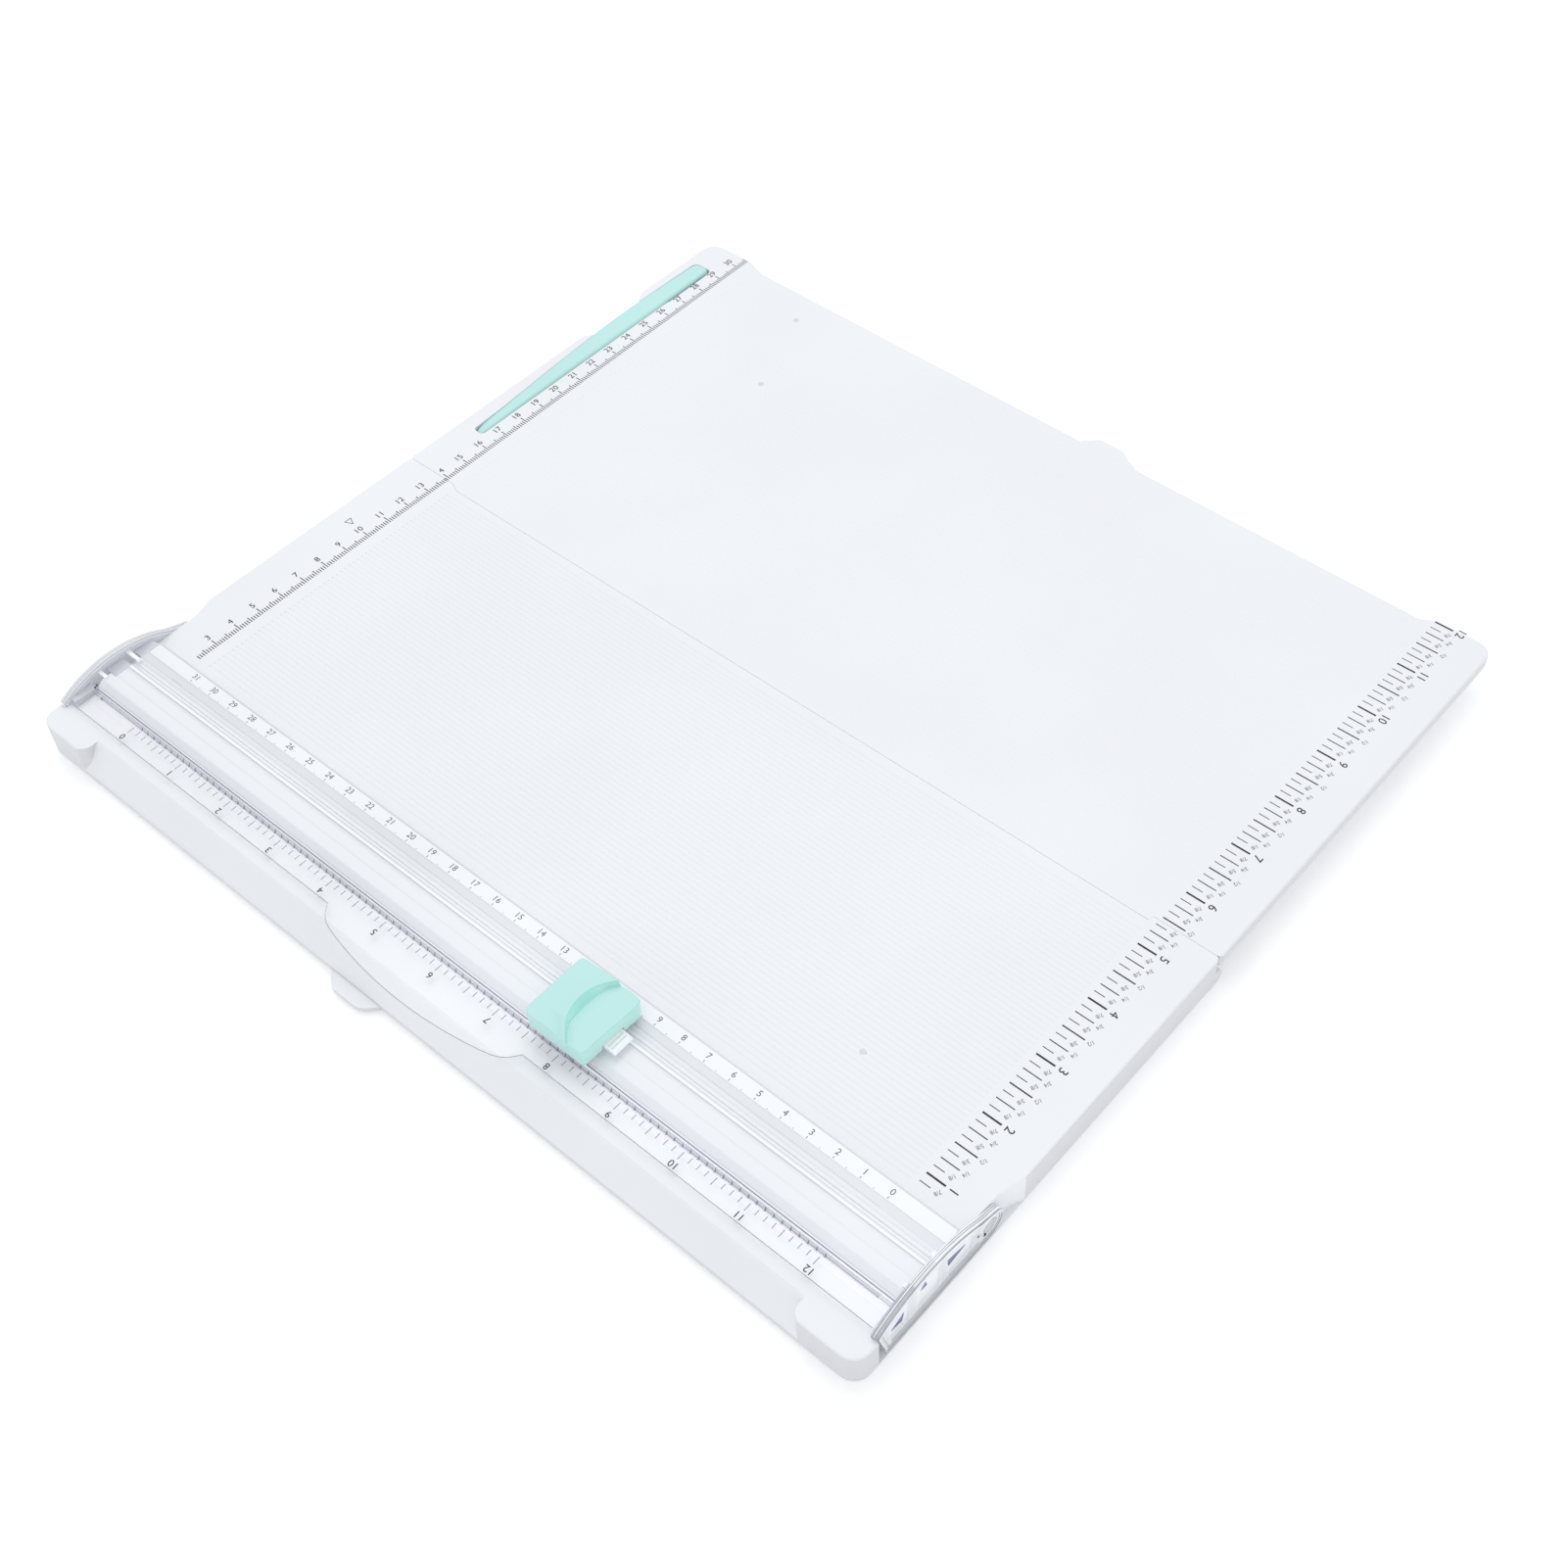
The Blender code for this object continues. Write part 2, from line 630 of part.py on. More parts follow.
def cap_row(v):
    """One row of the cap's top at v along it (-1 front to 1 back): points of (x, height)."""
    crest = CUTTER_X - 1.6 + 6.2 * (v - 0.08) ** 2
    floor = max(crest + 0.8, CUTTER_X + 3.4)
    left, right = CUTTER_X - CAP_HALF, CUTTER_X + CAP_HALF
    low = CAP_FLAT - 0.3
    row = [(left, low - CAP_EDGE), (left + CAP_EDGE, low)]
    for i in range(1, 8):
        run = i / 7
        row.append((left + CAP_EDGE + (crest - left - CAP_EDGE) * run, low + (CAP_CREST - low) * run ** 1.3))
    for i in range(1, 5):
        fall = i / 4
        row.append((crest + (floor - crest) * fall, CAP_FLAT + (CAP_CREST - CAP_FLAT) * (1 - fall) ** 0.8))
    row += [((floor + right) / 2, CAP_FLAT), (right - CAP_EDGE, CAP_FLAT), (right, CAP_FLAT - CAP_EDGE)]
    return row


def make_cap():
    """Press-down cap: a hollow hood with a curved thumb crest and a scoop beside it."""
    along = 12
    depth = CAP_BACK - CAP_FRONT
    stations = [0.0] + [CAP_EDGE + (depth - 2 * CAP_EDGE) * j / along for j in range(along + 1)] + [depth]
    bm = bmesh.new()
    grid = []
    for station in stations:
        drop = CAP_EDGE if station in (0.0, depth) else 0.0
        row = cap_row(2 * station / depth - 1)
        grid.append([bm.verts.new((x, CAP_FRONT + station, z - drop)) for x, z in row])
    for near, far in zip(grid, grid[1:]):
        for i in range(len(near) - 1):
            bm.faces.new((near[i], near[i + 1], far[i + 1], far[i]))
    rim = grid[0][:-1] + [row[-1] for row in grid[:-1]] + grid[-1][:0:-1] + [row[0] for row in grid[:0:-1]]
    foot = [bm.verts.new((vert.co.x, vert.co.y, CAP_BOTTOM)) for vert in rim]
    for i, vert in enumerate(rim):
        j = (i + 1) % len(rim)
        bm.faces.new((vert, rim[j], foot[j], foot[i]))
    bm.faces.new(foot)
    cap = add_object("cutter_cap", bm, mint(), 30)
    bm = bmesh.new()
    add_box(bm, (CUTTER_X - CAP_HALF + 1.6, CUTTER_X + CAP_HALF - 1.6), (-149.1, CAP_BACK - 1.5),
            (CAP_BOTTOM - 1, TOP + 11.2))
    boolean(cap, tool("cut_cap_inside", bm), "DIFFERENCE")
    bm = bmesh.new()
    add_box(bm, (CUTTER_X + CAP_HALF - 3, CUTTER_X + CAP_HALF + 3), (-142.4, -133.7), (CAP_BOTTOM - 1, TOP + 11.1))
    boolean(cap, tool("cut_cap_window", bm), "DIFFERENCE")


def make_blade_parts():
    """Cartridge that slides into the cap from the right, with the small fixed blade in it."""
    bottom, top = SHOE_TOP + PRESS_TRAVEL + 0.3, TOP + 10.9
    bm = bmesh.new()
    outline = [
        (47.0, -148.1), (59.8, -148.1), (59.8, -141.9), (67.4, -141.9), (67.4, -134.2), (47.0, -134.2),
    ]
    add_prism(bm, rounded(outline, [0.4, 0.4, 0.4, 1.2, 1.2, 0.4], 2), bottom, top, "Z")
    cartridge = add_object("blade_cartridge", bm, frosted())
    bm = bmesh.new()
    grip = [(63.4, bottom + 0.5), (67.3, bottom + 0.5), (67.3, TOP + 7.0), (66.3, TOP + 6.2), (63.4, TOP + 6.2)]
    add_prism(bm, grip, -141.7, -134.4, "Y")
    boolean(cartridge, tool("add_cartridge_grip", bm), "UNION")
    bm = bmesh.new()
    blade = [(51.0, top - 0.3), (59.0, top - 0.3), (59.0, TOP + 6.0), (55.4, TOP + 0.5), (54.6, TOP + 0.5),
             (51.0, TOP + 6.0)]
    add_prism(bm, blade, BLADE_Y - 0.18, BLADE_Y + 0.18, "Y")
    add_object("blade", bm, steel())


def make_spring(name, centre):
    """A short coil spring that holds the cap up."""
    turns, per_turn, sides = 3.2, 12, 6
    wire, radius = 0.28, 1.9
    bottom, top = SHOE_TOP + 0.3 + wire, TOP + 10.9 - wire
    steps = int(turns * per_turn)
    bm = bmesh.new()
    rings = []
    for i in range(steps + 1):
        angle = 2 * math.pi * turns * i / steps
        out = Vector((math.cos(angle), math.sin(angle), 0))
        spot = Vector((*centre, bottom + (top - bottom) * i / steps)) + out * radius
        ring = []
        for k in range(sides):
            turn = 2 * math.pi * k / sides
            offset = out * (wire * math.cos(turn)) + Vector((0, 0, wire * math.sin(turn)))
            ring.append(bm.verts.new(spot + offset))
        rings.append(ring)
    for first, second in zip(rings, rings[1:]):
        for k in range(sides):
            m = (k + 1) % sides
            bm.faces.new((first[k], first[m], second[m], second[k]))
    bm.faces.new(rings[0])
    bm.faces.new(rings[-1])
    add_object(name, bm, steel(), 60)


def main():
    clear_scene()
    make_base_board()
    make_bottom_cover()
    make_cover_screws()
    make_feet()
    make_cutting_strip()
    make_pins()
    make_far_board()
    make_stylus()
    make_ruler_plate()
    make_rail_bar()
    make_scale_strip()
    make_bracket(-1, "left_bracket")
    make_bracket(1, "right_bracket")
    make_shoe()
    make_cap()
    make_blade_parts()
    make_spring("front_press_spring", (43.4, -143.6))
    make_spring("rear_press_spring", (43.4, -136.6))


main()
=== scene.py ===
"""Looks of the folding scoring board with its swing-up rail trimmer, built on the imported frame.

Lengths are in millimetres in the shared frame; helpers turn them into metres.
"""

import math

import bmesh
import bpy
from mathutils import Matrix, Vector


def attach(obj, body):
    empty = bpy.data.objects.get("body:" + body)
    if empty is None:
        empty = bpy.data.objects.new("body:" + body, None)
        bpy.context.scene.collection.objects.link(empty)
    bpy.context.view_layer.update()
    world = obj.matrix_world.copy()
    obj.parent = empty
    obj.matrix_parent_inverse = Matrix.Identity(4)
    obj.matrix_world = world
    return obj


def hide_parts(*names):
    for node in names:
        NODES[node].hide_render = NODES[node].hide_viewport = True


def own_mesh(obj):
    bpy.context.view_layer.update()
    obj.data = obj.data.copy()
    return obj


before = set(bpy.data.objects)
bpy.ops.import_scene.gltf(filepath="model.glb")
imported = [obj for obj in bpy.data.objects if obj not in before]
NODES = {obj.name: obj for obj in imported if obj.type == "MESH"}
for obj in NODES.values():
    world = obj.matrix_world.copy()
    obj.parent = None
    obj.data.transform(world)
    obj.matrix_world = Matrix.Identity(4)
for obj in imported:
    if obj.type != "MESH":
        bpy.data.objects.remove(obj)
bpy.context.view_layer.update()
MM = 0.001

# ---------------------------------------------------------------- dimensions
HALF = 181.0  # half the boards' width
TOP = 14.5  # the writing surface
FRONT, SEAM = -168.4, 2.8  # y of the front edge and of the seam
RIM = 1.0  # the near half's lower edge
SKIN = 2.4  # thickness over the hollows
FAR_BOTTOM = 9.5
HINGE_Z = 4.5
KNUCKLE_R, HINGE_BORE = 3.4, 1.55
PIVOT, PIVOT_BORE = (-109.5, 8.3), 1.85  # the arm's pivot, as (y, z)
NOTCH_X = 178.0  # the notches beside the brackets reach in to here
STRIP_HALF, STRIP_Y = 172.4, (-151.3, -145.9)

FIELD = (-154.9, 156.1)  # x span of the grooved field
FIELD_NEAR = -116.4
FIELD_SEAM = 1.15  # the seam steps forward across the field
SEAM_GAP = 0.05
FIELD_FAR = 164.0
GROOVE_PITCH = 2.0

PLATE_BOTTOM, PLATE_TOP = 14.9, 16.7
PLATE_FRONT, PLATE_BACK = -157.55, -119.9
SLOT = (-149.4, -147.8)  # the blade slot in the plate
LOW_BAND = PLATE_TOP + 1.2
SCALE_TOP = PLATE_TOP + 1.5


# ---------------------------------------------------------------- mesh helpers
def obj_from(bm, name, mats=()):
    """Turns a bmesh drawn in millimetres into an object in metres."""
    bmesh.ops.recalc_face_normals(bm, faces=bm.faces)
    bm.transform(Matrix.Scale(MM, 4))
    mesh = bpy.data.meshes.new(name)
    bm.to_mesh(mesh)
    bm.free()
    obj = bpy.data.objects.new(name, mesh)
    bpy.context.scene.collection.objects.link(obj)
    for mat in mats:
        mesh.materials.append(mat)
    return obj


def prism(bm, outline, low, high, axis="Z", mat=0):
    """Extrudes an outline along the axis; the outline's pairs are the two other axes in order."""
    places = {"X": (1, 2, 0), "Y": (0, 2, 1), "Z": (0, 1, 2)}[axis]

    def ring(level):
        out = []
        for a, b in outline:
            co = [0.0, 0.0, 0.0]
            co[places[0]], co[places[1]], co[places[2]] = a, b, level
            out.append(bm.verts.new(co))
        return out

    return skin(bm, [ring(low), ring(high)], mat)


def skin(bm, rings, mat=0):
    """Joins closed rings of equal length into a capped solid."""
    faces = [bm.faces.new(rings[0]), bm.faces.new(rings[-1])]
    for a, b in zip(rings, rings[1:]):
        n = len(a)
        for i in range(n):
            j = (i + 1) % n
            faces.append(bm.faces.new((a[i], a[j], b[j], b[i])))
    for f in faces:
        f.material_index = mat
    return faces


def box(bm, x, y, z, mat=0):
    return prism(bm, ((x[0], y[0]), (x[1], y[0]), (x[1], y[1]), (x[0], y[1])), z[0], z[1], "Z", mat)


def arc(centre, radius, count, start, sweep):
    pts = []
    for i in range(count):
        a = math.radians(start + sweep * i / (count - 1))
        pts.append((centre[0] + radius * math.cos(a), centre[1] + radius * math.sin(a)))
    return pts


def circle(centre, radius, count=24):
    return arc(centre, radius, count + 1, 0, 360)[:-1]


def rounded(points, radii, steps=5):
    """Rounds the corners of a closed outline: one radius for all, or one for each."""
    out = []
    n = len(points)
    for i, p in enumerate(points):
        r = radii[i] if isinstance(radii, (list, tuple)) else radii
        if r <= 0:
            out.append(tuple(p))
            continue
        here = Vector(p)
        a = (Vector(points[i - 1]) - here).normalized()
        b = (Vector(points[(i + 1) % n]) - here).normalized()
        half = a.angle(b) / 2
        reach = r / math.tan(half)
        s, e = here + a * reach, here + b * reach
        c = here + (a + b).normalized() * (r / math.sin(half))
        first = math.atan2(s.y - c.y, s.x - c.x)
        turn = math.atan2(e.y - c.y, e.x - c.x) - first
        turn = (turn + math.pi) % (2 * math.pi) - math.pi
        for k in range(steps + 1):
            t = first + turn * k / steps
            out.append((c.x + r * math.cos(t), c.y + r * math.sin(t)))
    return out


def area(points):
    return sum(a[0] * b[1] - b[0] * a[1] for a, b in zip(points, points[1:] + points[:1])) / 2


def inset(points, d):
    """Moves a closed outline inward by d with mitred corners."""
    sign = 1 if area(points) > 0 else -1
    out = []
    n = len(points)
    for i, p in enumerate(points):
        here = Vector(p)
        a = (here - Vector(points[i - 1])).normalized()
        b = (Vector(points[(i + 1) % n]) - here).normalized()
        na, nb = Vector((-a.y, a.x)) * sign, Vector((-b.y, b.x)) * sign
        m = (na + nb) / max(0.35, 1 + na.dot(nb))
        out.append((p[0] + m.x * d, p[1] + m.y * d))
    return out


def slab(bm, outline, z0, z1, r0=0.4, r1=1.0, steps=3, mat=0):
    """A plate with the given outline whose lower and upper edges are rounded by r0 and r1."""
    levels = []
    for k in range(steps + 1):
        t = math.pi / 2 * k / steps
        levels.append((r0 * (1 - math.sin(t)), z0 + r0 * (1 - math.cos(t))))
    for k in range(steps + 1):
        t = math.pi / 2 * k / steps
        levels.append((r1 * (1 - math.cos(t)), z1 - r1 * (1 - math.sin(t))))
    rings = []
    for d, z in levels:
        pts = inset(outline, d) if d > 1e-6 else outline
        rings.append([bm.verts.new((x, y, z)) for x, y in pts])
    return skin(bm, rings, mat)


def cut(obj, bm, op="DIFFERENCE"):
    """Joins bm to obj, or takes it away. Its faces keep their index into obj's materials."""
    tool = obj_from(bm, obj.name + "_tool", list(obj.data.materials))
    m = obj.modifiers.new(op, "BOOLEAN")
    m.operation, m.solver, m.object = op, "EXACT", tool
    tool.hide_render = True
    bake(obj)
    data = tool.data
    bpy.data.objects.remove(tool)
    bpy.data.meshes.remove(data)
    return obj


def bake(obj):
    """Applies the modifiers to the mesh."""
    bpy.context.view_layer.update()
    dg = bpy.context.evaluated_depsgraph_get()
    mesh = bpy.data.meshes.new_from_object(obj.evaluated_get(dg))
    old = obj.data
    obj.modifiers.clear()
    obj.data = mesh
    mesh.name = obj.name
    bpy.data.meshes.remove(old)


def smooth(obj, angle=35.0):
    obj.data.shade_smooth()
    obj.data.set_sharp_from_angle(angle=math.radians(angle))
    m = obj.modifiers.new("weighted", "WEIGHTED_NORMAL")
    m.keep_sharp = True
    m.weight = 60


def place(obj, body, slot, *nodes):
    """Fixes a piece to its body, in the place of the CAD nodes it redraws; its colour slot is not used."""
    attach(obj, body)
    if nodes:
        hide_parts(*nodes)
    return obj


# ---------------------------------------------------------------- materials
HALF_SPAN = 0.17  # metres, for the painted light that grows from left to right


def new_mat(name):
    mat = bpy.data.materials.new(name)
    mat.use_nodes = True
    nt = mat.node_tree
    return mat, nt, nt.nodes["Principled BSDF"]


def node(nt, kind, **values):
    n = nt.nodes.new(kind)
    for key, value in values.items():
        if key in n.inputs:
            n.inputs[key].default_value = value
        else:
            setattr(n, key, value)
    return n


def maths(nt, operation, *sockets):
    n = node(nt, "ShaderNodeMath", operation=operation)
    for entry, socket in zip(n.inputs, sockets):
        nt.links.new(socket, entry)
    return n.outputs["Value"]


def along_x(nt, coords, left, right):
    """A value that goes from left to right over the object's width."""
    axes = node(nt, "ShaderNodeSeparateXYZ")
    nt.links.new(coords.outputs["Object"], axes.inputs["Vector"])
    ends = {"From Min": -HALF_SPAN, "From Max": HALF_SPAN, "To Min": left, "To Max": right}
    span = node(nt, "ShaderNodeMapRange", **ends)
    nt.links.new(axes.outputs["X"], span.inputs["Value"])
    return span.outputs["Result"]


def plastic(name, colour, rough=0.4, vary=0.02, grain=900.0, bump=0.12, spec=0.5, across=0.0):
    """Moulded plastic: fine grain in the bump, slow drift in colour and roughness.

    across is painted light: it makes the colour grow lighter from the object's left end to its right end.
    """
    mat, nt, bsdf = new_mat(name)
    link = nt.links.new
    coords = node(nt, "ShaderNodeTexCoord")
    drift = node(nt, "ShaderNodeTexNoise", Scale=14.0, Detail=3.0)
    link(coords.outputs["Object"], drift.inputs["Vector"])
    ramp = node(nt, "ShaderNodeValToRGB")
    lo = [max(0.0, c * (1 - vary)) for c in colour]
    hi = [min(1.0, c * (1 + vary)) for c in colour]
    ramp.color_ramp.elements[0].color = (*lo, 1)
    ramp.color_ramp.elements[0].position = 0.3
    ramp.color_ramp.elements[1].color = (*hi, 1)
    ramp.color_ramp.elements[1].position = 0.7
    place_in_ramp = drift.outputs["Fac"]
    if across:
        place_in_ramp = maths(nt, "ADD", along_x(nt, coords, -across, across), place_in_ramp)
    link(place_in_ramp, ramp.inputs["Fac"])
    link(ramp.outputs["Color"], bsdf.inputs["Base Color"])
    rr = node(nt, "ShaderNodeMapRange")
    rr.inputs["To Min"].default_value = rough * 0.88
    rr.inputs["To Max"].default_value = rough * 1.12
    link(drift.outputs["Fac"], rr.inputs["Value"])
    link(rr.outputs["Result"], bsdf.inputs["Roughness"])
    fine = node(nt, "ShaderNodeTexNoise", Scale=grain, Detail=2.0)
    link(coords.outputs["Object"], fine.inputs["Vector"])
    b = node(nt, "ShaderNodeBump", Strength=bump, Distance=0.00008)
    link(fine.outputs["Fac"], b.inputs["Height"])
    link(b.outputs["Normal"], bsdf.inputs["Normal"])
    bsdf.inputs["Specular IOR Level"].default_value = spec
    return mat


def see_through(name, colour, alpha, rough=0.06, grain=240.0, bump=0.05, spec=0.5, sheen=0.0):
    """Clear or milky plastic whose surface has faint flow lines. Its sheen is a painted glow that stands for
    the sky it mirrors and the light carried inside it.
    """
    mat = plastic(name, colour, rough, 0.03, grain, bump, spec)
    bsdf = mat.node_tree.nodes["Principled BSDF"]
    bsdf.inputs["Emission Color"].default_value = (0.95, 0.97, 1.0, 1)
    bsdf.inputs["Emission Strength"].default_value = sheen
    bsdf.inputs["Alpha"].default_value = alpha
    return mat


def sheen_across(mat, left, right):
    """The painted sheen grows brighter towards the right end."""
    nt = mat.node_tree
    strength = nt.nodes["Principled BSDF"].inputs["Emission Strength"]
    nt.links.new(along_x(nt, nt.nodes["Texture Coordinate"], left, right), strength)
    return mat


def retone(mat, colour, measure, start, end):
    """Mixes another tone in by the surface's direction: none at start of the measure, all at its end."""
    nt = mat.node_tree
    link = nt.links.new
    target = nt.nodes["Principled BSDF"].inputs["Base Color"]
    before = target.links[0].from_socket
    axes = node(nt, "ShaderNodeSeparateXYZ")
    link(nt.nodes["Texture Coordinate"].outputs["Normal"], axes.inputs["Vector"])
    amount = node(nt, "ShaderNodeMapRange", **{"From Min": start, "From Max": end})
    link(measure(nt, axes.outputs), amount.inputs["Value"])
    mix = node(nt, "ShaderNodeMixRGB")
    mix.inputs[2].default_value = (*colour, 1)
    link(amount.outputs["Result"], mix.inputs[0])
    link(before, mix.inputs[1])
    link(mix.outputs["Color"], target)
    return mat


def shade_sides(mat, shade_tone):
    """Painted shade: upright faces take a slightly deeper tone than those that face up."""
    return retone(mat, shade_tone, lambda nt, way: maths(nt, "ABSOLUTE", way["Z"]), 0.45, 0.2)


def paint_slope_shade(mat, shade_tone):
    """Painted shade: faces that slope to the right take a deeper tone, standing for the shade in the scoop,
    where light bounces back and forth.
    """
    return retone(mat, shade_tone, lambda nt, way: maths(nt, "MULTIPLY", way["X"], way["Z"]), 0.14, 0.46)


def lighten_right(mat, light):
    """Faces that look to the right take a lighter tone: the table throws light back on them."""
    return retone(mat, light, lambda nt, way: way["X"], 0.6, 0.9)


# WHITE has painted shade on its upright faces; WHITE_NOTCH is the same white without that painted shade.
WHITE = shade_sides(plastic("white_moulded", (0.845, 0.855, 0.885), 0.42), (0.68, 0.685, 0.71))
WHITE_NOTCH = plastic("white_notch", (0.845, 0.855, 0.885), 0.42)
# across=0.2 is painted light, here and on the bands, flank and milky plastic below: each grows lighter towards
# the right end.
WHITE_STRIP = plastic("white_strip", (0.895, 0.905, 0.93), 0.35, 0.035, across=0.2)
MINT = plastic("mint_moulded", (0.50, 0.80, 0.775), 0.33, 0.02, 700.0, 0.06, 0.4)
INK = plastic("printed_ink", (0.035, 0.035, 0.045), 0.6, 0.3, 1800.0, 0.05, 0.2)
GREY_INK = plastic("printed_grey_ink", (0.17, 0.17, 0.19), 0.6, 0.2, 1800.0, 0.05, 0.2)
BLUE_INK = plastic("printed_blue_ink", (0.36, 0.37, 0.48), 0.6, 0.2, 1800.0, 0.05, 0.2)
SOFT_INK = plastic("printed_soft_ink", (0.24, 0.24, 0.29), 0.6, 0.1, 1800.0, 0.05, 0.2)
PALE_INK = plastic("printed_pale_ink", (0.88, 0.88, 0.90), 0.6, 0.05, 1800.0, 0.05, 0.2)
GATE_GREY = plastic("gate_mark", (0.70, 0.71, 0.74), 0.5, 0.04, 900.0, 0.1, 0.3)
# painted light on the clear plate: its sheen is a painted reflection, brighter towards the right, and the
# edge, edge-line and slot-lip tones below are painted shade along its edges
CLEAR = sheen_across(see_through("clear_plate", (0.97, 0.975, 0.99), 0.03), 0.1, 1.0)
CLEAR_EDGE = see_through("clear_edge", (0.72, 0.73, 0.78), 0.2, 0.2)
EDGE_LINE = see_through("clear_edge_line", (0.25, 0.26, 0.30), 0.7, 0.2)
# the slot's back wall has a painted glow that lifts the shade in the slot, brighter towards the right
SLOT_BACK = sheen_across(see_through("slot_back", (0.93, 0.93, 0.965), 1.0, 0.4, 500.0, 0.15), 0.02, 0.22)
SLOT_WALL = see_through("slot_wall", (0.80, 0.81, 0.90), 0.08, 0.2)
SLOT_LIP = see_through("slot_lip", (0.26, 0.27, 0.36), 0.8, 0.2)
LIP_GREY = see_through("slot_lip_grey", (0.05, 0.06, 0.11), 0.9, 0.2)
GREY_BAND = plastic("frosted_band", (0.765, 0.78, 0.81), 0.5, 0.045, 500.0, 0.25, across=0.2)
# painted shade for the slopes that face back: the rib's rear and the strip's rear slope
SLOPE_SHADE_GREY = plastic("painted_slope_shade", (0.70, 0.715, 0.745), 0.5, 0.04, 500.0, 0.25, across=0.2)
PALE_BAND = plastic("frosted_pale_band", (0.81, 0.825, 0.86), 0.5, 0.045, 500.0, 0.25, across=0.2)
LINE_GREY = plastic("moulded_line", (0.68, 0.69, 0.72), 0.5, 0.05, 500.0, 0.2, across=0.2)
BLUISH = plastic("bluish_flank", (0.825, 0.835, 0.88), 0.4, 0.045, 500.0, 0.2, across=0.2)
MILKY = plastic("milky_plastic", (0.83, 0.845, 0.88), 0.28, 0.02, 240.0, 0.08, 0.55, across=0.2)
# the bright ridge's material carries a painted glow, which also lifts the shade on walls of the rear bands
BRIGHT = see_through("bright_ridge", (0.92, 0.93, 0.95), 1.0, 0.3, 240.0, 0.08, 0.55, 0.05)
STRIP_MILKY = see_through("cutting_strip_plastic", (0.91, 0.91, 0.95), 1.0, 0.4, 500.0, 0.15)
# painted light: the bracket materials are lit, shaded and dark-rimmed copies of one clear plastic, each with a
# painted glow; the dark blue one is a painted glint
BRACKET = see_through("bracket_clear", (0.84, 0.85, 0.88), 0.70, 0.08, 200.0, 0.1, 0.9, 0.06)
BRACKET_EDGE = see_through("bracket_rim", (0.35, 0.36, 0.40), 0.7, 0.12, 200.0, 0.1, 0.9, 0.03)
BRACKET_GREY = see_through("bracket_grey", (0.46, 0.48, 0.52), 0.75, 0.12, 200.0, 0.1, 0.9, 0.04)
BRACKET_PALE = see_through("bracket_pale", (0.94, 0.95, 0.97), 0.75, 0.12, 200.0, 0.1, 0.9, 0.1)
BRACKET_VIOLET = see_through("bracket_violet", (0.66, 0.665, 0.73), 0.7, 0.12, 200.0, 0.1, 0.9, 0.05)
BRACKET_GLINT = see_through("bracket_painted_glint", (0.20, 0.23, 0.46), 0.75, 0.15, 200.0, 0.1, 0.8, 0.04)
# painted shade: a near-black tone put into gaps and hollows that are dark only by shade
GAP_SHADE = plastic("painted_gap_shade", (0.05, 0.055, 0.06), 0.8, 0.2, 900.0, 0.1, 0.1)
RUBBER = plastic("rubber_pad", (0.12, 0.12, 0.13), 0.85, 0.08, 1500.0, 0.3)
STEEL = plastic("plain_steel", (0.55, 0.56, 0.58), 0.28, 0.05, 1200.0, 0.15)
STEEL.node_tree.nodes["Principled BSDF"].inputs["Metallic"].default_value = 1.0
# the cap's mint carries painted shade on faces sloping into the scoop and painted light on faces turned to the
# right
CAP_MINT = plastic("mint_cap", (0.50, 0.80, 0.775), 0.33, 0.02, 700.0, 0.06, 0.4)
lighten_right(paint_slope_shade(CAP_MINT, (0.36, 0.80, 0.73)), (0.57, 0.93, 0.86))


# ---------------------------------------------------------------- near half
def thumb_tab():
    """The near half's thumb tab, seen from above."""
    root, tip, centre = FRONT + 2.0, FRONT - 5.0, -21.7
    pts = [(-11.5, root), (-11.5, FRONT), (-6.5, tip), (6.5, tip), (11.5, FRONT), (11.5, root)]
    return rounded([(centre + x, y) for x, y in pts], [0, 2.0, 6.0, 6.0, 2.0, 0], 6)


def both(low, high):
    """The same span of x on the left and on the right."""
    return (-high, -low), (low, high)


def apron_tool():
    """The wedge removed in front: a rounded brow, the slope and a small lip."""
    brow, back, lip = 1.3, -162.2, 3.8
    slope = Vector((FRONT - back, lip - TOP)).normalized()
    a, p = Vector((back + brow, TOP)), Vector((back, TOP))
    c = p + slope * brow
    pts = [(back + brow + 0.1, TOP + 2.0)]
    for i in range(1, 6):
        t = i / 5
        if t > 0.15:
            q = a * (1 - t) ** 2 + p * (2 * t * (1 - t)) + c * t * t
            pts.append((q.x, q.y))
    pts += [(FRONT, lip), (FRONT - 4, lip), (FRONT - 4, TOP + 2.0)]
    return pts


def seam_line(shift, turn):
    """The seam, left to right: it steps forward across the field and turns off at the outer corners."""
    left, right = SEAM - 0.15 + shift, SEAM + 0.9 + shift
    f0, f1 = FIELD_SEAM - 0.46 + shift, FIELD_SEAM + 0.46 + shift
    corner = [(HALF - 1.6, right), (HALF - 0.6, right - turn * 0.4), (HALF, right - turn * 1.5),
              (HALF + 3, right - turn * 1.5)]
    far_side = [(-HALF - 3, left - turn * 1.5), (-HALF, left - turn * 1.5), (-HALF + 0.6, left - turn * 0.4),
                (-HALF + 1.6, left)]
    return far_side + [(FIELD[0] - 2.6, left), (FIELD[0] + 1.4, f0), (FIELD[1] - 0.1, f1),
                       (FIELD[1] + 0.3, right)] + corner


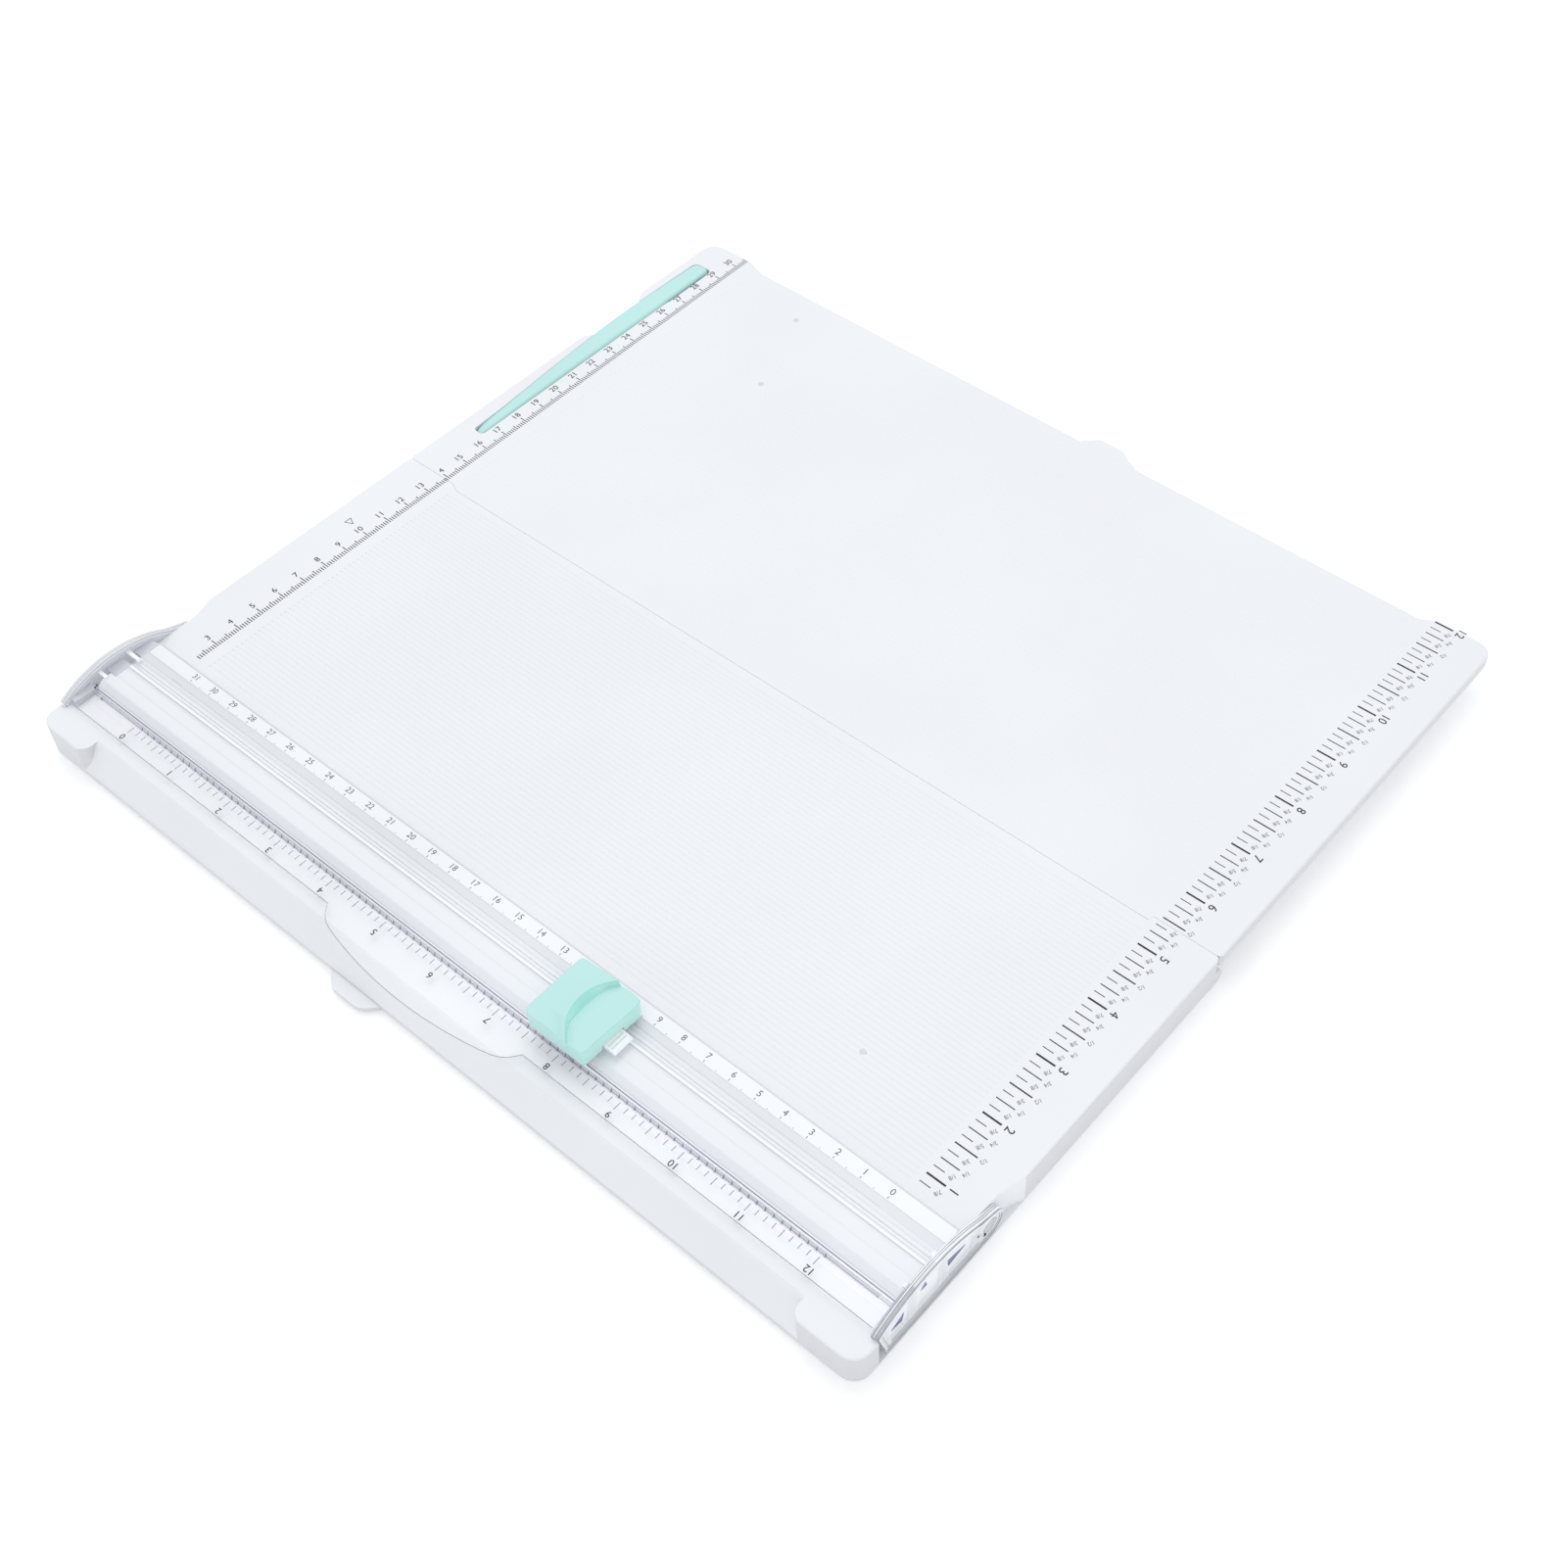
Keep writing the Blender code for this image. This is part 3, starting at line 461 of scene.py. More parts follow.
def near_board():
    """The thick near half, cut step by step out of a rounded slab."""
    outline = [(-HALF, FRONT), (HALF, FRONT), (HALF, SEAM + 6), (-HALF, SEAM + 6)]
    bm = bmesh.new()
    slab(bm, rounded(outline, [6, 6, 2, 2], 8), RIM, TOP, 0.5, 0.7, 3)
    board = obj_from(bm, "near_board", [WHITE, WHITE_NOTCH])
    bm = bmesh.new()
    prism(bm, seam_line(-SEAM_GAP, 1) + [(HALF + 3, SEAM + 9), (-HALF - 3, SEAM + 9)], -2, TOP + 2)
    cut(board, bm)

    # the apron: a wedge with soft ends, between the two corner blocks
    plan = bmesh.new()
    half = 157.0
    pts = [(-half, -150.0), (-half, -165.9), (-half - 3.4, FRONT - 0.4), (-half - 3.4, FRONT - 6),
           (half + 3.4, FRONT - 6), (half + 3.4, FRONT - 0.4), (half, -165.9), (half, -150.0)]
    prism(plan, rounded(pts, [0, 3.5, 0, 0, 0, 0, 3.5, 0], 6), -3, TOP + 6)
    wedge = obj_from(plan, "wedge")
    bm = bmesh.new()
    prism(bm, apron_tool(), -half - 8, half + 8, "X")
    cut(wedge, bm, "INTERSECT")
    m = wedge.modifiers.new("b", "BEVEL")
    m.width, m.segments, m.limit_method, m.angle_limit = 1.1 * MM, 3, "ANGLE", math.radians(60)
    bake(wedge)
    bm = bmesh.new()
    bm.from_mesh(wedge.data)
    bm.transform(Matrix.Scale(1 / MM, 4))
    bpy.data.objects.remove(wedge)
    cut(board, bm)

    # the notches beside the brackets, and the cutting strip's groove
    bm = bmesh.new()
    for s in (-1, 1):
        notch = [(NOTCH_X, -159.0), (HALF + 2, -159.0), (HALF + 2, -92.5), (HALF, -93.8), (179.3, -98.6),
                 (178.2, -102.6), (NOTCH_X, -106.0)]
        # the notch's faces take the white without the painted side shade
        prism(bm, [(s * x, y) for x, y in notch], 2.0, TOP + 2, "Z", 1)
    room = 0.02
    reach = STRIP_HALF + 0.05
    box(bm, (-reach, reach), (STRIP_Y[0] - room, STRIP_Y[1] + room), (TOP - 1.8, TOP + 2))
    cut(board, bm)

    # the hollows below, the cover's recess and the pockets for the far half's knuckles
    bm = bmesh.new()
    prism(bm, [(-164.6, 3.0), (-160.3, 10.8), (-145.0, 10.8), (-145.0, 3.0)], -175.2, 175.2, "X")
    cut(board, bm)
    bm = bmesh.new()
    box(bm, (-175.2, 175.2), (-143.2, -77.0), (3.0, TOP - SKIN))
    box(bm, (-178.4, 178.4), (-75.2, -1.4), (3.0, TOP - SKIN))
    cut(board, bm)
    bm = bmesh.new()
    box(bm, (-175.2, 175.2), (-166.0, -1.4), (0.0, 3.4))
    for low, high in both(159.7, 171.9):
        box(bm, (low, high), (SEAM - 4.15, SEAM + 2), (-0.5, 8.6))
    cut(board, bm)

    # the knuckles and the thumb tab, then the bores and the bed of the grooved field
    bm = bmesh.new()
    knuckle = arc((SEAM, HINGE_Z), KNUCKLE_R, 15, -90, 180)
    knuckle += [(SEAM - 2.6, HINGE_Z + KNUCKLE_R), (SEAM - 2.6, HINGE_Z - KNUCKLE_R)]
    for inner, outer in ((148.0, 159.6), (172.0, 181.0)):
        for low, high in both(inner, outer):
            prism(bm, knuckle, low, high, "X")
    prism(bm, thumb_tab(), RIM + 0.02, RIM + 1.8)
    cut(board, bm, "UNION")
    bm = bmesh.new()
    for low, high in both(146.0, 180.2):
        prism(bm, circle((SEAM, HINGE_Z), HINGE_BORE, 18), low, high, "X")
    for low, high in both(174.0, 180.0):
        prism(bm, circle(PIVOT, PIVOT_BORE, 18), low, high, "X")
    cut(board, bm)
    bm = bmesh.new()
    box(bm, FIELD, (FIELD_NEAR, -2.0), (TOP - 1.0, TOP + 1))
    cut(board, bm)
    smooth(board)
    return place(board, "near_half", "white_plastic", "base_board")


def groove_field(name, y0, y1, first, depth, body):
    """The field that takes the scoring grooves: V grooves with softened lips, every 2 mm."""
    half = 0.42
    pts = [(y0, TOP - 1.0), (y0, TOP)]
    y = first
    while y < y1 - 0.8:
        if y > y0 + 0.8:
            pts += [(y - half, TOP), (y - half * 0.45, TOP - depth * 0.75), (y, TOP - depth),
                    (y + half * 0.45, TOP - depth * 0.75), (y + half, TOP)]
        y += GROOVE_PITCH
    pts += [(y1, TOP), (y1, TOP - 1.0)]
    bm = bmesh.new()
    prism(bm, pts, FIELD[0], FIELD[1], "X")
    field = obj_from(bm, name, [WHITE])
    smooth(field, 25)
    return place(field, body, "white_plastic")


def far_board():
    """The thin far half. Its far edge runs askew; the stylus's tray and finger notch are on the left."""
    pts = [(-HALF, SEAM - 6), (HALF, SEAM - 6), (HALF, 169.6), (159.0, 169.6), (154.0, 166.5),
           (-152.0, 170.3), (-161.0, 173.6), (-182.2, 173.6),
           (-182.2, 130.0), (-177.2, 123.0), (-177.2, 100.0), (-HALF, 96.0)]
    radii = [2, 2, 6, 3, 3, 3, 3, 7, 4, 3, 3, 4]
    bm = bmesh.new()
    slab(bm, rounded(pts, radii, 6), FAR_BOTTOM, TOP, 0.4, 0.7, 3)
    board = obj_from(bm, "far_board_skin", [WHITE, GAP_SHADE])
    bm = bmesh.new()
    prism(bm, [(-HALF - 3, SEAM - 9), (HALF + 3, SEAM - 9)] + seam_line(SEAM_GAP, -1)[::-1], -2, TOP + 2)
    cut(board, bm)

    # the hollows below and the bed of the grooved field, then the tray and the slit beside it
    ceiling = TOP - SKIN
    bm = bmesh.new()
    for ya, yb in ((13.0, 87.0), (89.0, 165.0)):
        for xa, xb in ((-164.0, -56.0), (-54.0, 54.0), (56.0, 176.0)):
            box(bm, (xa, xb), (ya, yb), (FAR_BOTTOM - 1, ceiling))
    box(bm, FIELD, (4.0, FIELD_FAR), (TOP - 1.0, TOP + 1))
    cut(board, bm)
    bm = bmesh.new()
    prism(bm, stylus_plan(0.35), 11.2, TOP + 1)
    cut(board, bm)
    bm = bmesh.new()
    # the slit takes painted shade on its walls and floor
    slit = [(-169.9, 130.0), (-168.8, 133.0), (-168.8, 155.0), (-169.9, 156.5)]
    prism(bm, rounded(slit, [0, 0.8, 0.8, 0], 3), 11.0, TOP + 1, "Z", 1)
    cut(board, bm)

    # the thumb tab, the two foot posts and the knuckles, then their bores
    bm = bmesh.new()
    tab = [(9.9, 166.0), (9.9, 168.8), (15.0, 173.4), (25.8, 173.1), (29.5, 170.3), (34.9, 168.1),
           (34.9, 166.0)]
    prism(bm, rounded(tab, [0, 2.5, 3.5, 3.5, 3.0, 3.0, 0], 6), TOP - 1.8, TOP - 0.02)
    for s in (-1, 1):
        prism(bm, circle((s * 150.0, 140.0), 5.0, 24), 1.5, ceiling + 0.5)
    knuckle = arc((SEAM, HINGE_Z), KNUCKLE_R, 21, 0, -275)
    knuckle += [(SEAM + 0.3, FAR_BOTTOM + 0.5), (SEAM + KNUCKLE_R, FAR_BOTTOM + 0.5)]
    for low, high in both(160.0, 171.6):
        prism(bm, knuckle, low, high, "X")
    cut(board, bm, "UNION")
    bm = bmesh.new()
    for low, high in both(150.0, 175.0):
        prism(bm, circle((SEAM, HINGE_Z), HINGE_BORE, 18), low, high, "X")
    cut(board, bm)
    smooth(board)
    return place(board, "far_half", "white_plastic", "far_board")


def stylus_plan(grow):
    """The stylus's outline from above, made larger by grow: its tray is that much wider."""
    inner = -169.4 + grow
    outer = [(-173.6, 29.2 - grow), (-174.2, 45.0), (-176.2, 72.0), (-177.7, 98.0), (-178.3, 118.0),
             (-178.0, 136.0), (-177.4, 158.2 + grow)]
    pts = [(inner, 29.2 - grow), (inner, 158.2 + grow)] + [(x - grow, y) for x, y in reversed(outer)]
    return rounded(pts, [1.4, 1.8, 2.4, 12, 30, 30, 30, 30, 1.6], 5)


near_board()
groove_field("near_grooves", FIELD_NEAR, -2.0, -115.1, 0.14, "near_half")
far_board()
groove_field("far_grooves", 4.0, FIELD_FAR, 4.9, 0.05, "far_half")


# ---------------------------------------------------------------- prints
DECAL = 0.03  # half the thickness of a print


class Print:
    """Collects ink marks, as thin solids, that lie on one level of one body."""

    def __init__(self, name, body, level, mat, slot="white_plastic"):
        self.name, self.body, self.level, self.mat, self.slot = name, body, level, mat, slot
        self.bm = bmesh.new()

    def bar(self, x0, x1, y0, y1):
        box(self.bm, (x0, x1), (y0, y1), (self.level - DECAL, self.level + DECAL))

    def text(self, words, centre, height, turn, width=1.0, bold=0.0):
        curve = bpy.data.curves.new("words", "FONT")
        curve.body = words
        curve.align_x, curve.align_y = "CENTER", "CENTER"
        curve.size = height / 0.72
        curve.resolution_u = 3
        curve.offset = 0.0 if "4" in words else bold  # a wider outline closes the eye of a 4
        curve.extrude = DECAL
        obj = bpy.data.objects.new("words", curve)
        bpy.context.scene.collection.objects.link(obj)
        bpy.context.view_layer.update()
        dg = bpy.context.evaluated_depsgraph_get()
        mesh = bpy.data.meshes.new_from_object(obj.evaluated_get(dg))
        mesh.transform(Matrix.Diagonal((width, 1, 1, 1)))
        lo = [min(v.co[i] for v in mesh.vertices) for i in (0, 1)]
        hi = [max(v.co[i] for v in mesh.vertices) for i in (0, 1)]
        mesh.transform(Matrix.Translation((-(lo[0] + hi[0]) / 2, -(lo[1] + hi[1]) / 2, 0)))
        spin = Matrix.Rotation(math.radians(turn), 4, "Z")
        mesh.transform(Matrix.Translation((*centre, self.level)) @ spin)
        self.bm.from_mesh(mesh)
        bpy.data.objects.remove(obj)
        bpy.data.curves.remove(curve)
        bpy.data.meshes.remove(mesh)

    def done(self):
        obj = obj_from(self.bm, self.name, [self.mat])
        return place(obj, self.body, self.slot)


CM0 = -135.8  # y near which the boards' centimetres and inches begin
# Printed rows as the photograph shows them: pitch in mm and shift from CM0 on the boards,
# pitch and x of the zero on the arm.
CM_NEAR, CM_FAR = (10.1, -1.45), (10.2, -3.05)
INCH_NEAR, INCH_FAR = (25.70, -0.45), (25.07, 3.2)
FRONT_INCH, REAR_CM = (25.286, -150.26), (9.92, 156.5)


def side_of_seam(y):
    return "near" if y < SEAM else "far"


def left_scale():
    """Centimetres 3 to 30, read from the left. The far half's print sits a little off the near half's."""
    marks = {k: Print(f"cm_scale_{k}", f"{k}_half", TOP, INK) for k in ("near", "far")}

    def spot(cm):
        y, x = CM0 + CM_NEAR[0] * cm + CM_NEAR[1], -160.1
        if y > SEAM - 0.2:
            y, x = CM0 + CM_FAR[0] * cm + CM_FAR[1], -160.25 - 0.075 * (cm - 14)
        return y, x

    for mm in range(22, 306):
        y, right = spot(mm / 10)
        length = 3.9 if mm % 10 == 0 else 2.8 if mm % 5 == 0 else 2.0
        marks[side_of_seam(y)].bar(right - length, right, y - 0.17, y + 0.17)
    for cm in range(3, 31):
        y, right = spot(cm)
        if cm == 14:
            marks["far"].text("4", (right - 6.1, y + 0.9), 2.6, 90)
        else:
            marks[side_of_seam(y)].text(str(cm), (right - 6.15, y), 2.6, 90, 1.0, 0.01)
    triangle = [(-173.4, -37.2), (-173.4, -34.0), (-169.9, -35.6)]
    inner = inset(triangle, 0.25)
    for k in range(3):
        n = (k + 1) % 3
        quad = [triangle[k], triangle[n], inner[n], inner[k]]
        prism(marks["near"].bm, quad, TOP - DECAL, TOP + DECAL)
    for m in marks.values():
        m.done()


def right_scale():
    """Inches 1 to 12 with eighths, read from the right. Whole inches have the boldest bars."""
    marks = {k: Print(f"inch_scale_{k}", f"{k}_half", TOP, INK) for k in ("near", "far")}
    small = {k: Print(f"inch_fractions_{k}", f"{k}_half", TOP, GREY_INK) for k in ("near", "far")}
    names = {1: "1/8", 2: "1/4", 3: "3/8", 4: "1/2", 5: "5/8", 6: "3/4", 7: "7/8"}
    for e in range(7, 97):
        y, left = CM0 + INCH_NEAR[0] * e / 8 + INCH_NEAR[1], 158.5
        if y > SEAM + 0.8:
            y, left = CM0 + INCH_FAR[0] * e / 8 + INCH_FAR[1], 158.85
        k = "near" if y < SEAM + 0.8 else "far"
        part = e % 8
        length, wide = {0: (6.9, 0.65), 4: (8.2, 0.48), 2: (6.8, 0.36), 6: (6.8, 0.36)}.get(part, (3.9, 0.28))
        marks[k].bar(left, left + length, y - wide / 2, y + wide / 2)
        if part == 0:
            marks[k].text(str(e // 8), (left + 9.8, y), 3.1, -90, 1.0, 0.012)
        else:
            x = {4: 10.2, 2: 8.9, 6: 8.9}.get(part, 6.5)
            small[k].text(names[part], (left + x, y), 1.45, -115, 0.9)
    for m in list(marks.values()) + list(small.values()):
        m.done()


def gate_marks():
    """Faint round marks that moulding leaves."""
    for half, spots in (("near", [(119.1, -91.3)]), ("far", [(-120.9, 156.0), (-105.8, 117.8)])):
        marks = Print(f"gate_marks_{half}", f"{half}_half", TOP, GATE_GREY)
        for spot in spots:
            prism(marks.bm, circle(spot, 1.1), TOP - DECAL, TOP + DECAL)
        marks.done()


left_scale()
right_scale()
gate_marks()


# ---------------------------------------------------------------- stylus
def stylus():
    """A tapered stick with a ridge nearer its straight inner side.

    Each station is y, the x of its right and left sides, and the z of its top.
    """
    stations = [(29.0, -170.9, -172.7, 12.9), (29.8, -170.2, -173.5, 13.4), (32.5, -169.8, -174.2, 13.9),
                (40.0, -169.7, -174.8, 14.3), (58.0, -169.7, -176.1, 14.5), (80.0, -169.7, -177.6, 14.6),
                (100.0, -169.7, -178.7, 14.65), (118.0, -169.7, -179.2, 14.65), (136.0, -169.8, -178.9, 14.6),
                (150.0, -169.9, -178.5, 14.5), (156.0, -170.1, -178.2, 14.5), (158.6, -170.7, -177.6, 14.4),
                (159.6, -172.0, -175.8, 14.2)]
    low = 11.55
    bm = bmesh.new()
    rings = []
    for y, right, left, top in stations:
        w = right - left
        pts = [(right, low), (right, top - 1.1), (right - 0.12 * w, top - 0.25), (right - 0.26 * w, top),
               (right - 0.55 * w, top - 0.04), (left + 0.08 * w, top - 0.1), (left, top - 0.35), (left, low)]
        rings.append([bm.verts.new((x, y, z)) for x, z in pts])
    skin(bm, rings)
    stick = obj_from(bm, "stylus_stick", [MINT])
    m = stick.modifiers.new("s", "SUBSURF")
    m.levels = m.render_levels = 2
    bake(stick)
    smooth(stick, 180)
    return place(stick, "scoring_stylus", "mint_plastic", "stylus")


# ---------------------------------------------------------------- arm
ARM_LEFT, ARM_RIGHT = -173.1, 177.7  # the long bands run right up to the right bracket


def plate():
    """The clear ruler plate. Its rim and the lips of the blade slot are painted darker than its face: painted
    shade along its clear edges.
    """
    left, right, tab = -174.7, 177.6, 43.6
    side = [(42.6, -159.0), (41.2, -160.8), (38.9, -162.5), (36.2, -163.6), (33.0, -164.4)]
    bow = []
    for i in range(1, 16):
        x = 33.0 - 66.0 * i / 16
        bow.append((x, -168.0 + 3.6 * (abs(x) / 33.0) ** 2))
    pts = [(left, SLOT[0]), (left, PLATE_FRONT), (-tab, PLATE_FRONT)]
    pts += [(-x, y) for x, y in side] + bow[::-1] + side[::-1]
    pts += [(tab, PLATE_FRONT), (right, PLATE_FRONT), (right, SLOT[0])]
    bm = bmesh.new()
    faces = slab(bm, pts, PLATE_BOTTOM, PLATE_TOP, 0.12, 0.22, 2, 1)
    faces[0].material_index = faces[1].material_index = 0
    for f in faces[2:]:
        high = f.calc_center_median().z > PLATE_TOP - 0.2
        if all(v.co.y > SLOT[0] - 0.4 for v in f.verts):
            f.material_index = 3 if high else 2
        elif high and left + 0.5 < f.calc_center_median().x < right - 0.5:
            f.material_index = 4
    obj = obj_from(bm, "arm_plate", [CLEAR, CLEAR_EDGE, SLOT_WALL, LIP_GREY, EDGE_LINE])
    smooth(obj, 40)
    place(obj, "rail_arm", "clear_plastic", "ruler_plate")

    bm = bmesh.new()
    low = PLATE_BOTTOM - 0.25
    pts = [(SLOT[1], low), (PLATE_BACK, low), (PLATE_BACK, PLATE_TOP), (SLOT[1] + 0.32, PLATE_TOP),
           (SLOT[1], PLATE_TOP - 0.12)]
    faces = prism(bm, pts, left, right, "X")[2:]  # without the end caps: one face for each edge of pts
    # painted shade on the rear lip of the slot; the slot's back wall has a painted glow that lifts its shade
    faces[3].material_index = 1
    faces[4].material_index = 2
    obj = obj_from(bm, "arm_plate_rear", [BLUISH, SLOT_LIP, SLOT_BACK])
    smooth(obj, 40)
    place(obj, "rail_arm", "clear_plastic")
    bm = bmesh.new()
    for x in (left, right - 0.8):
        box(bm, (x, x + 0.8), (SLOT[0], SLOT[1]), (PLATE_BOTTOM, PLATE_TOP - 0.4))
    place(obj_from(bm, "slot_ends", [SLOT_WALL]), "rail_arm", "clear_plastic")


BAND_MATS = [MILKY, GREY_BAND, PALE_BAND, LINE_GREY, BLUISH, BRIGHT, WHITE_STRIP, SLOPE_SHADE_GREY]
MILK, GREY, PALE, LINE, BLUE, SHINE, CHALK, SHADED_SLOPE = range(len(BAND_MATS))


def banded(name, pts, bands, x0, x1):
    """An extrusion whose top carries bands: bands are (front y, index in BAND_MATS), from the front."""
    bm = bmesh.new()
    faces = prism(bm, pts, x0, x1, "X")
    for f in faces[2:]:
        y = sum(v.co.y for v in f.verts) / len(f.verts)
        for edge, mat in bands:
            if y >= edge:
                f.material_index = mat
    return obj_from(bm, name, BAND_MATS)


def rail():
    """The bar under the cutter and the lower bands behind it, which leave a groove for the carriage."""
    base, flat, rib = PLATE_TOP + 0.02, TOP + 4.2, TOP + 4.45
    front = [(-140.6, flat - 0.02), (-144.2, flat - 0.02), (-144.75, flat - 0.3), (-146.45, 17.3),
             (-146.75, 17.05), (-146.75, base)]
    pts = [(-133.2, base), (-133.2, rib - 0.6), (-133.5, rib - 0.12), (-133.9, rib), (-134.3, rib),
           (-134.75, rib), (-135.0, flat + 0.1), (-135.1, flat - 0.12), (-135.35, flat - 0.12), (-135.5, flat),
           (-136.4, flat), (-139.9, flat), (-140.1, flat - 0.1), (-140.4, flat - 0.1)] + front
    # the last band paints shade on the rib's rear slope
    bands = [(-150, BLUE), (-144.75, MILK), (-140.45, PALE), (-140.05, MILK), (-136.4, PALE), (-135.3, LINE),
             (-135.05, SHINE), (-134.4, PALE), (-133.85, SHADED_SLOPE)]
    obj = banded("rail_profile", pts, bands, -172.3, ARM_RIGHT)
    bm = bmesh.new()
    prism(bm, [(-140.9, base), (-140.9, flat - 0.02)] + front[1:], -175.0, -170.0, "X")
    cut(obj, bm, "UNION")
    smooth(obj, 30)
    place(obj, "rail_arm", "frosted_plastic", "rail_bar")

    low = LOW_BAND
    pts = [(-126.0, base), (-126.0, low), (-129.05, low), (-129.2, low - 0.12), (-129.35, low),
           (-130.4, low), (-130.5, low - 0.08), (-130.6, low), (-131.3, low), (-131.6, low - 0.1),
           (-131.8, low - 0.3), (-131.8, 17.0), (-133.15, 16.95), (-133.15, base)]
    # the bright material over the carriage groove's walls and floor is painted light that lifts their shade
    bands = [(-134, SHINE), (-131.3, PALE), (-130.6, GREY), (-130.4, PALE), (-129.05, GREY)]
    obj = banded("rear_bands", pts, bands, ARM_LEFT - 0.5, ARM_RIGHT)
    smooth(obj, 30)
    place(obj, "rail_arm", "frosted_plastic")


def strip():
    """The raised centimetre strip; its rear slope, grey with painted shade, runs slightly back towards the
    right.
    """
    front, top, back, skew = -126.1, SCALE_TOP, PLATE_BACK - 0.25, 0.45
    pts = [(front, PLATE_TOP + 0.02), (back, PLATE_TOP + 0.02), (back, PLATE_TOP + 0.3),
           (back - 0.95, top - 0.12), (back - 1.2, top), (front + 0.3, top), (front + 0.1, top - 0.1),
           (front, top - 0.3)]
    obj = banded("scale_band", pts, [(-150, CHALK), (back - 1.1, SHADED_SLOPE)], ARM_LEFT, ARM_RIGHT)
    for v in obj.data.vertices:
        if v.co.y > (back - 2) * MM and v.co.x > 0:
            v.co.y += skew * MM
    smooth(obj, 30)
    place(obj, "rail_arm", "white_plastic", "scale_strip")


BRACKET_MATS = [BRACKET, BRACKET_EDGE, BRACKET_PALE, BRACKET_GLINT, GAP_SHADE, BRACKET_GREY, BRACKET_VIOLET]
B_CLEAR, B_EDGE, B_PALE, B_GLINT, B_SHADE, B_GREY, B_VIOLET = range(len(BRACKET_MATS))


def bracket(side, name, node_name):
    """Clear end bracket: an arched web with a ribbed rim, pockets on both faces, clips and a hub.

    The photograph shows the right one's outer face and the left one's inner face, so the tones differ.
    """
    centre, radius = (-136.8, -21.0), 43.3
    start = math.degrees(math.atan2(14.2 - centre[1], -158.1 - centre[0]))
    outline = arc(centre, radius, 26, start, 58.0 - start) + arc(PIVOT, 5.9, 16, 52.0, -142.0)
    outline.append((-155.6, 2.4))

    def pocket(y0, y1, gap, low):
        """Region between two ribs: straight below, following the arch above."""
        top = []
        for i in range(7):
            y = y1 + (y0 - y1) * i / 6
            top.append((y, centre[1] + math.sqrt((radius - gap) ** 2 - (y - centre[0]) ** 2)))
        return rounded([(y0 + 0.8, low), (y1 - 0.8, low)] + top, [0.8, 0.8, 0.7, 0, 0, 0, 0, 0, 0.7], 3)

    def across(bm, pts, low, high, tone):
        prism(bm, pts, side * low, side * high, "X", tone)

    bm = bmesh.new()
    broad, inner = (B_GREY, B_PALE) if side > 0 else (B_CLEAR, B_VIOLET)
    # rim, from the inner face to the outer: x, inset, tone of the face that ends there
    levels = [(178.2, 1.3, inner), (178.05, 1.1, B_EDGE), (178.05, 0.5, B_CLEAR), (178.25, 0.1, B_EDGE),
              (178.75, 0.0, broad), (178.88, 0.2, B_EDGE), (179.0, 0.0, B_EDGE), (179.35, 0.0, B_PALE),
              (179.48, 0.2, B_EDGE), (179.6, 0.0, B_EDGE), (180.35, 0.05, broad), (180.8, 0.35, B_EDGE),
              (180.9, 0.75, B_PALE), (180.62, 0.95, B_EDGE), (180.6, 1.3, B_PALE), (180.35, 1.5, B_EDGE),
              (180.35, 1.9, B_CLEAR), (180.5, 2.05, B_GREY), (180.5, 2.3, B_PALE)]
    rings = [[bm.verts.new((side * x, y, z)) for y, z in inset(outline, d)] for x, d, _ in levels]
    faces = skin(bm, rings, B_CLEAR)
    n = len(rings[0])
    for k in range(1, len(levels)):
        tone = levels[k][2]
        for f in faces[2 + (k - 1) * n:2 + k * n]:
            f.material_index = tone
            y = f.calc_center_median().y
            # painted shade: the grey rim stays grey only towards the front and turns clear, then pale, towards
            # the hub; the left bracket's rim lines take the softer grey
            if tone == B_GREY and y > -143:
                f.material_index = B_CLEAR if y < -134 else B_PALE
            elif tone == B_EDGE and side < 0:
                f.material_index = B_GREY
    faces[0].material_index = B_VIOLET if side < 0 else B_PALE
    obj = obj_from(bm, name, BRACKET_MATS)

    # three pockets in each face, with painted blue glints at the bottom of the outer ones
    bm = bmesh.new()
    for y0, y1 in ((-154.2, -144.6), (-142.4, -131.4), (-129.2, -116.6)):
        across(bm, pocket(y0, y1, 2.7, 6.4), 179.7, 182.0, B_PALE)
        across(bm, pocket(y0 + 0.6, y1 - 0.6, 3.2, 6.9), 177.0, 178.6, B_VIOLET if side < 0 else B_CLEAR)
    for z, tone in ((4.85, B_GREY), (5.4, B_EDGE), (5.95, B_GREY)):
        groove = [(-153.0, z), (-114.5, z), (-114.5, z + 0.25), (-153.0, z + 0.25)]
        across(bm, groove, 180.1, 182.0, tone)
    across(bm, circle(PIVOT, 3.1, 28), 179.6, 182.0, B_PALE)
    cut(obj, bm)
    bm = bmesh.new()
    glints = (((-153.0, 9.4), (-147.6, 8.2), (-146.6, 12.6)), ((-139.9, 13.6), (-136.9, 13.2), (-137.6, 16.6)),
              ((-128.4, 14.2), (-127.4, 9.8), (-118.6, 11.4)))
    for pts in glints:
        across(bm, rounded(pts, 0.35, 3), 179.2, 180.2, B_GLINT)
    across(bm, circle(PIVOT, 1.9, 20), 177.0, 182.0, B_EDGE)
    # two spots of painted shade beside the hub
    across(bm, circle((-114.9, 9.6), 0.55, 10), 180.0, 182.0, B_SHADE)
    across(bm, rounded([(-112.9, 6.4), (-111.6, 5.0), (-110.2, 6.3)], 0.2, 2), 180.0, 182.0, B_SHADE)
    cut(obj, bm)
    smooth(obj, 35)
    place(obj, "rail_arm", "clear_plastic", node_name)

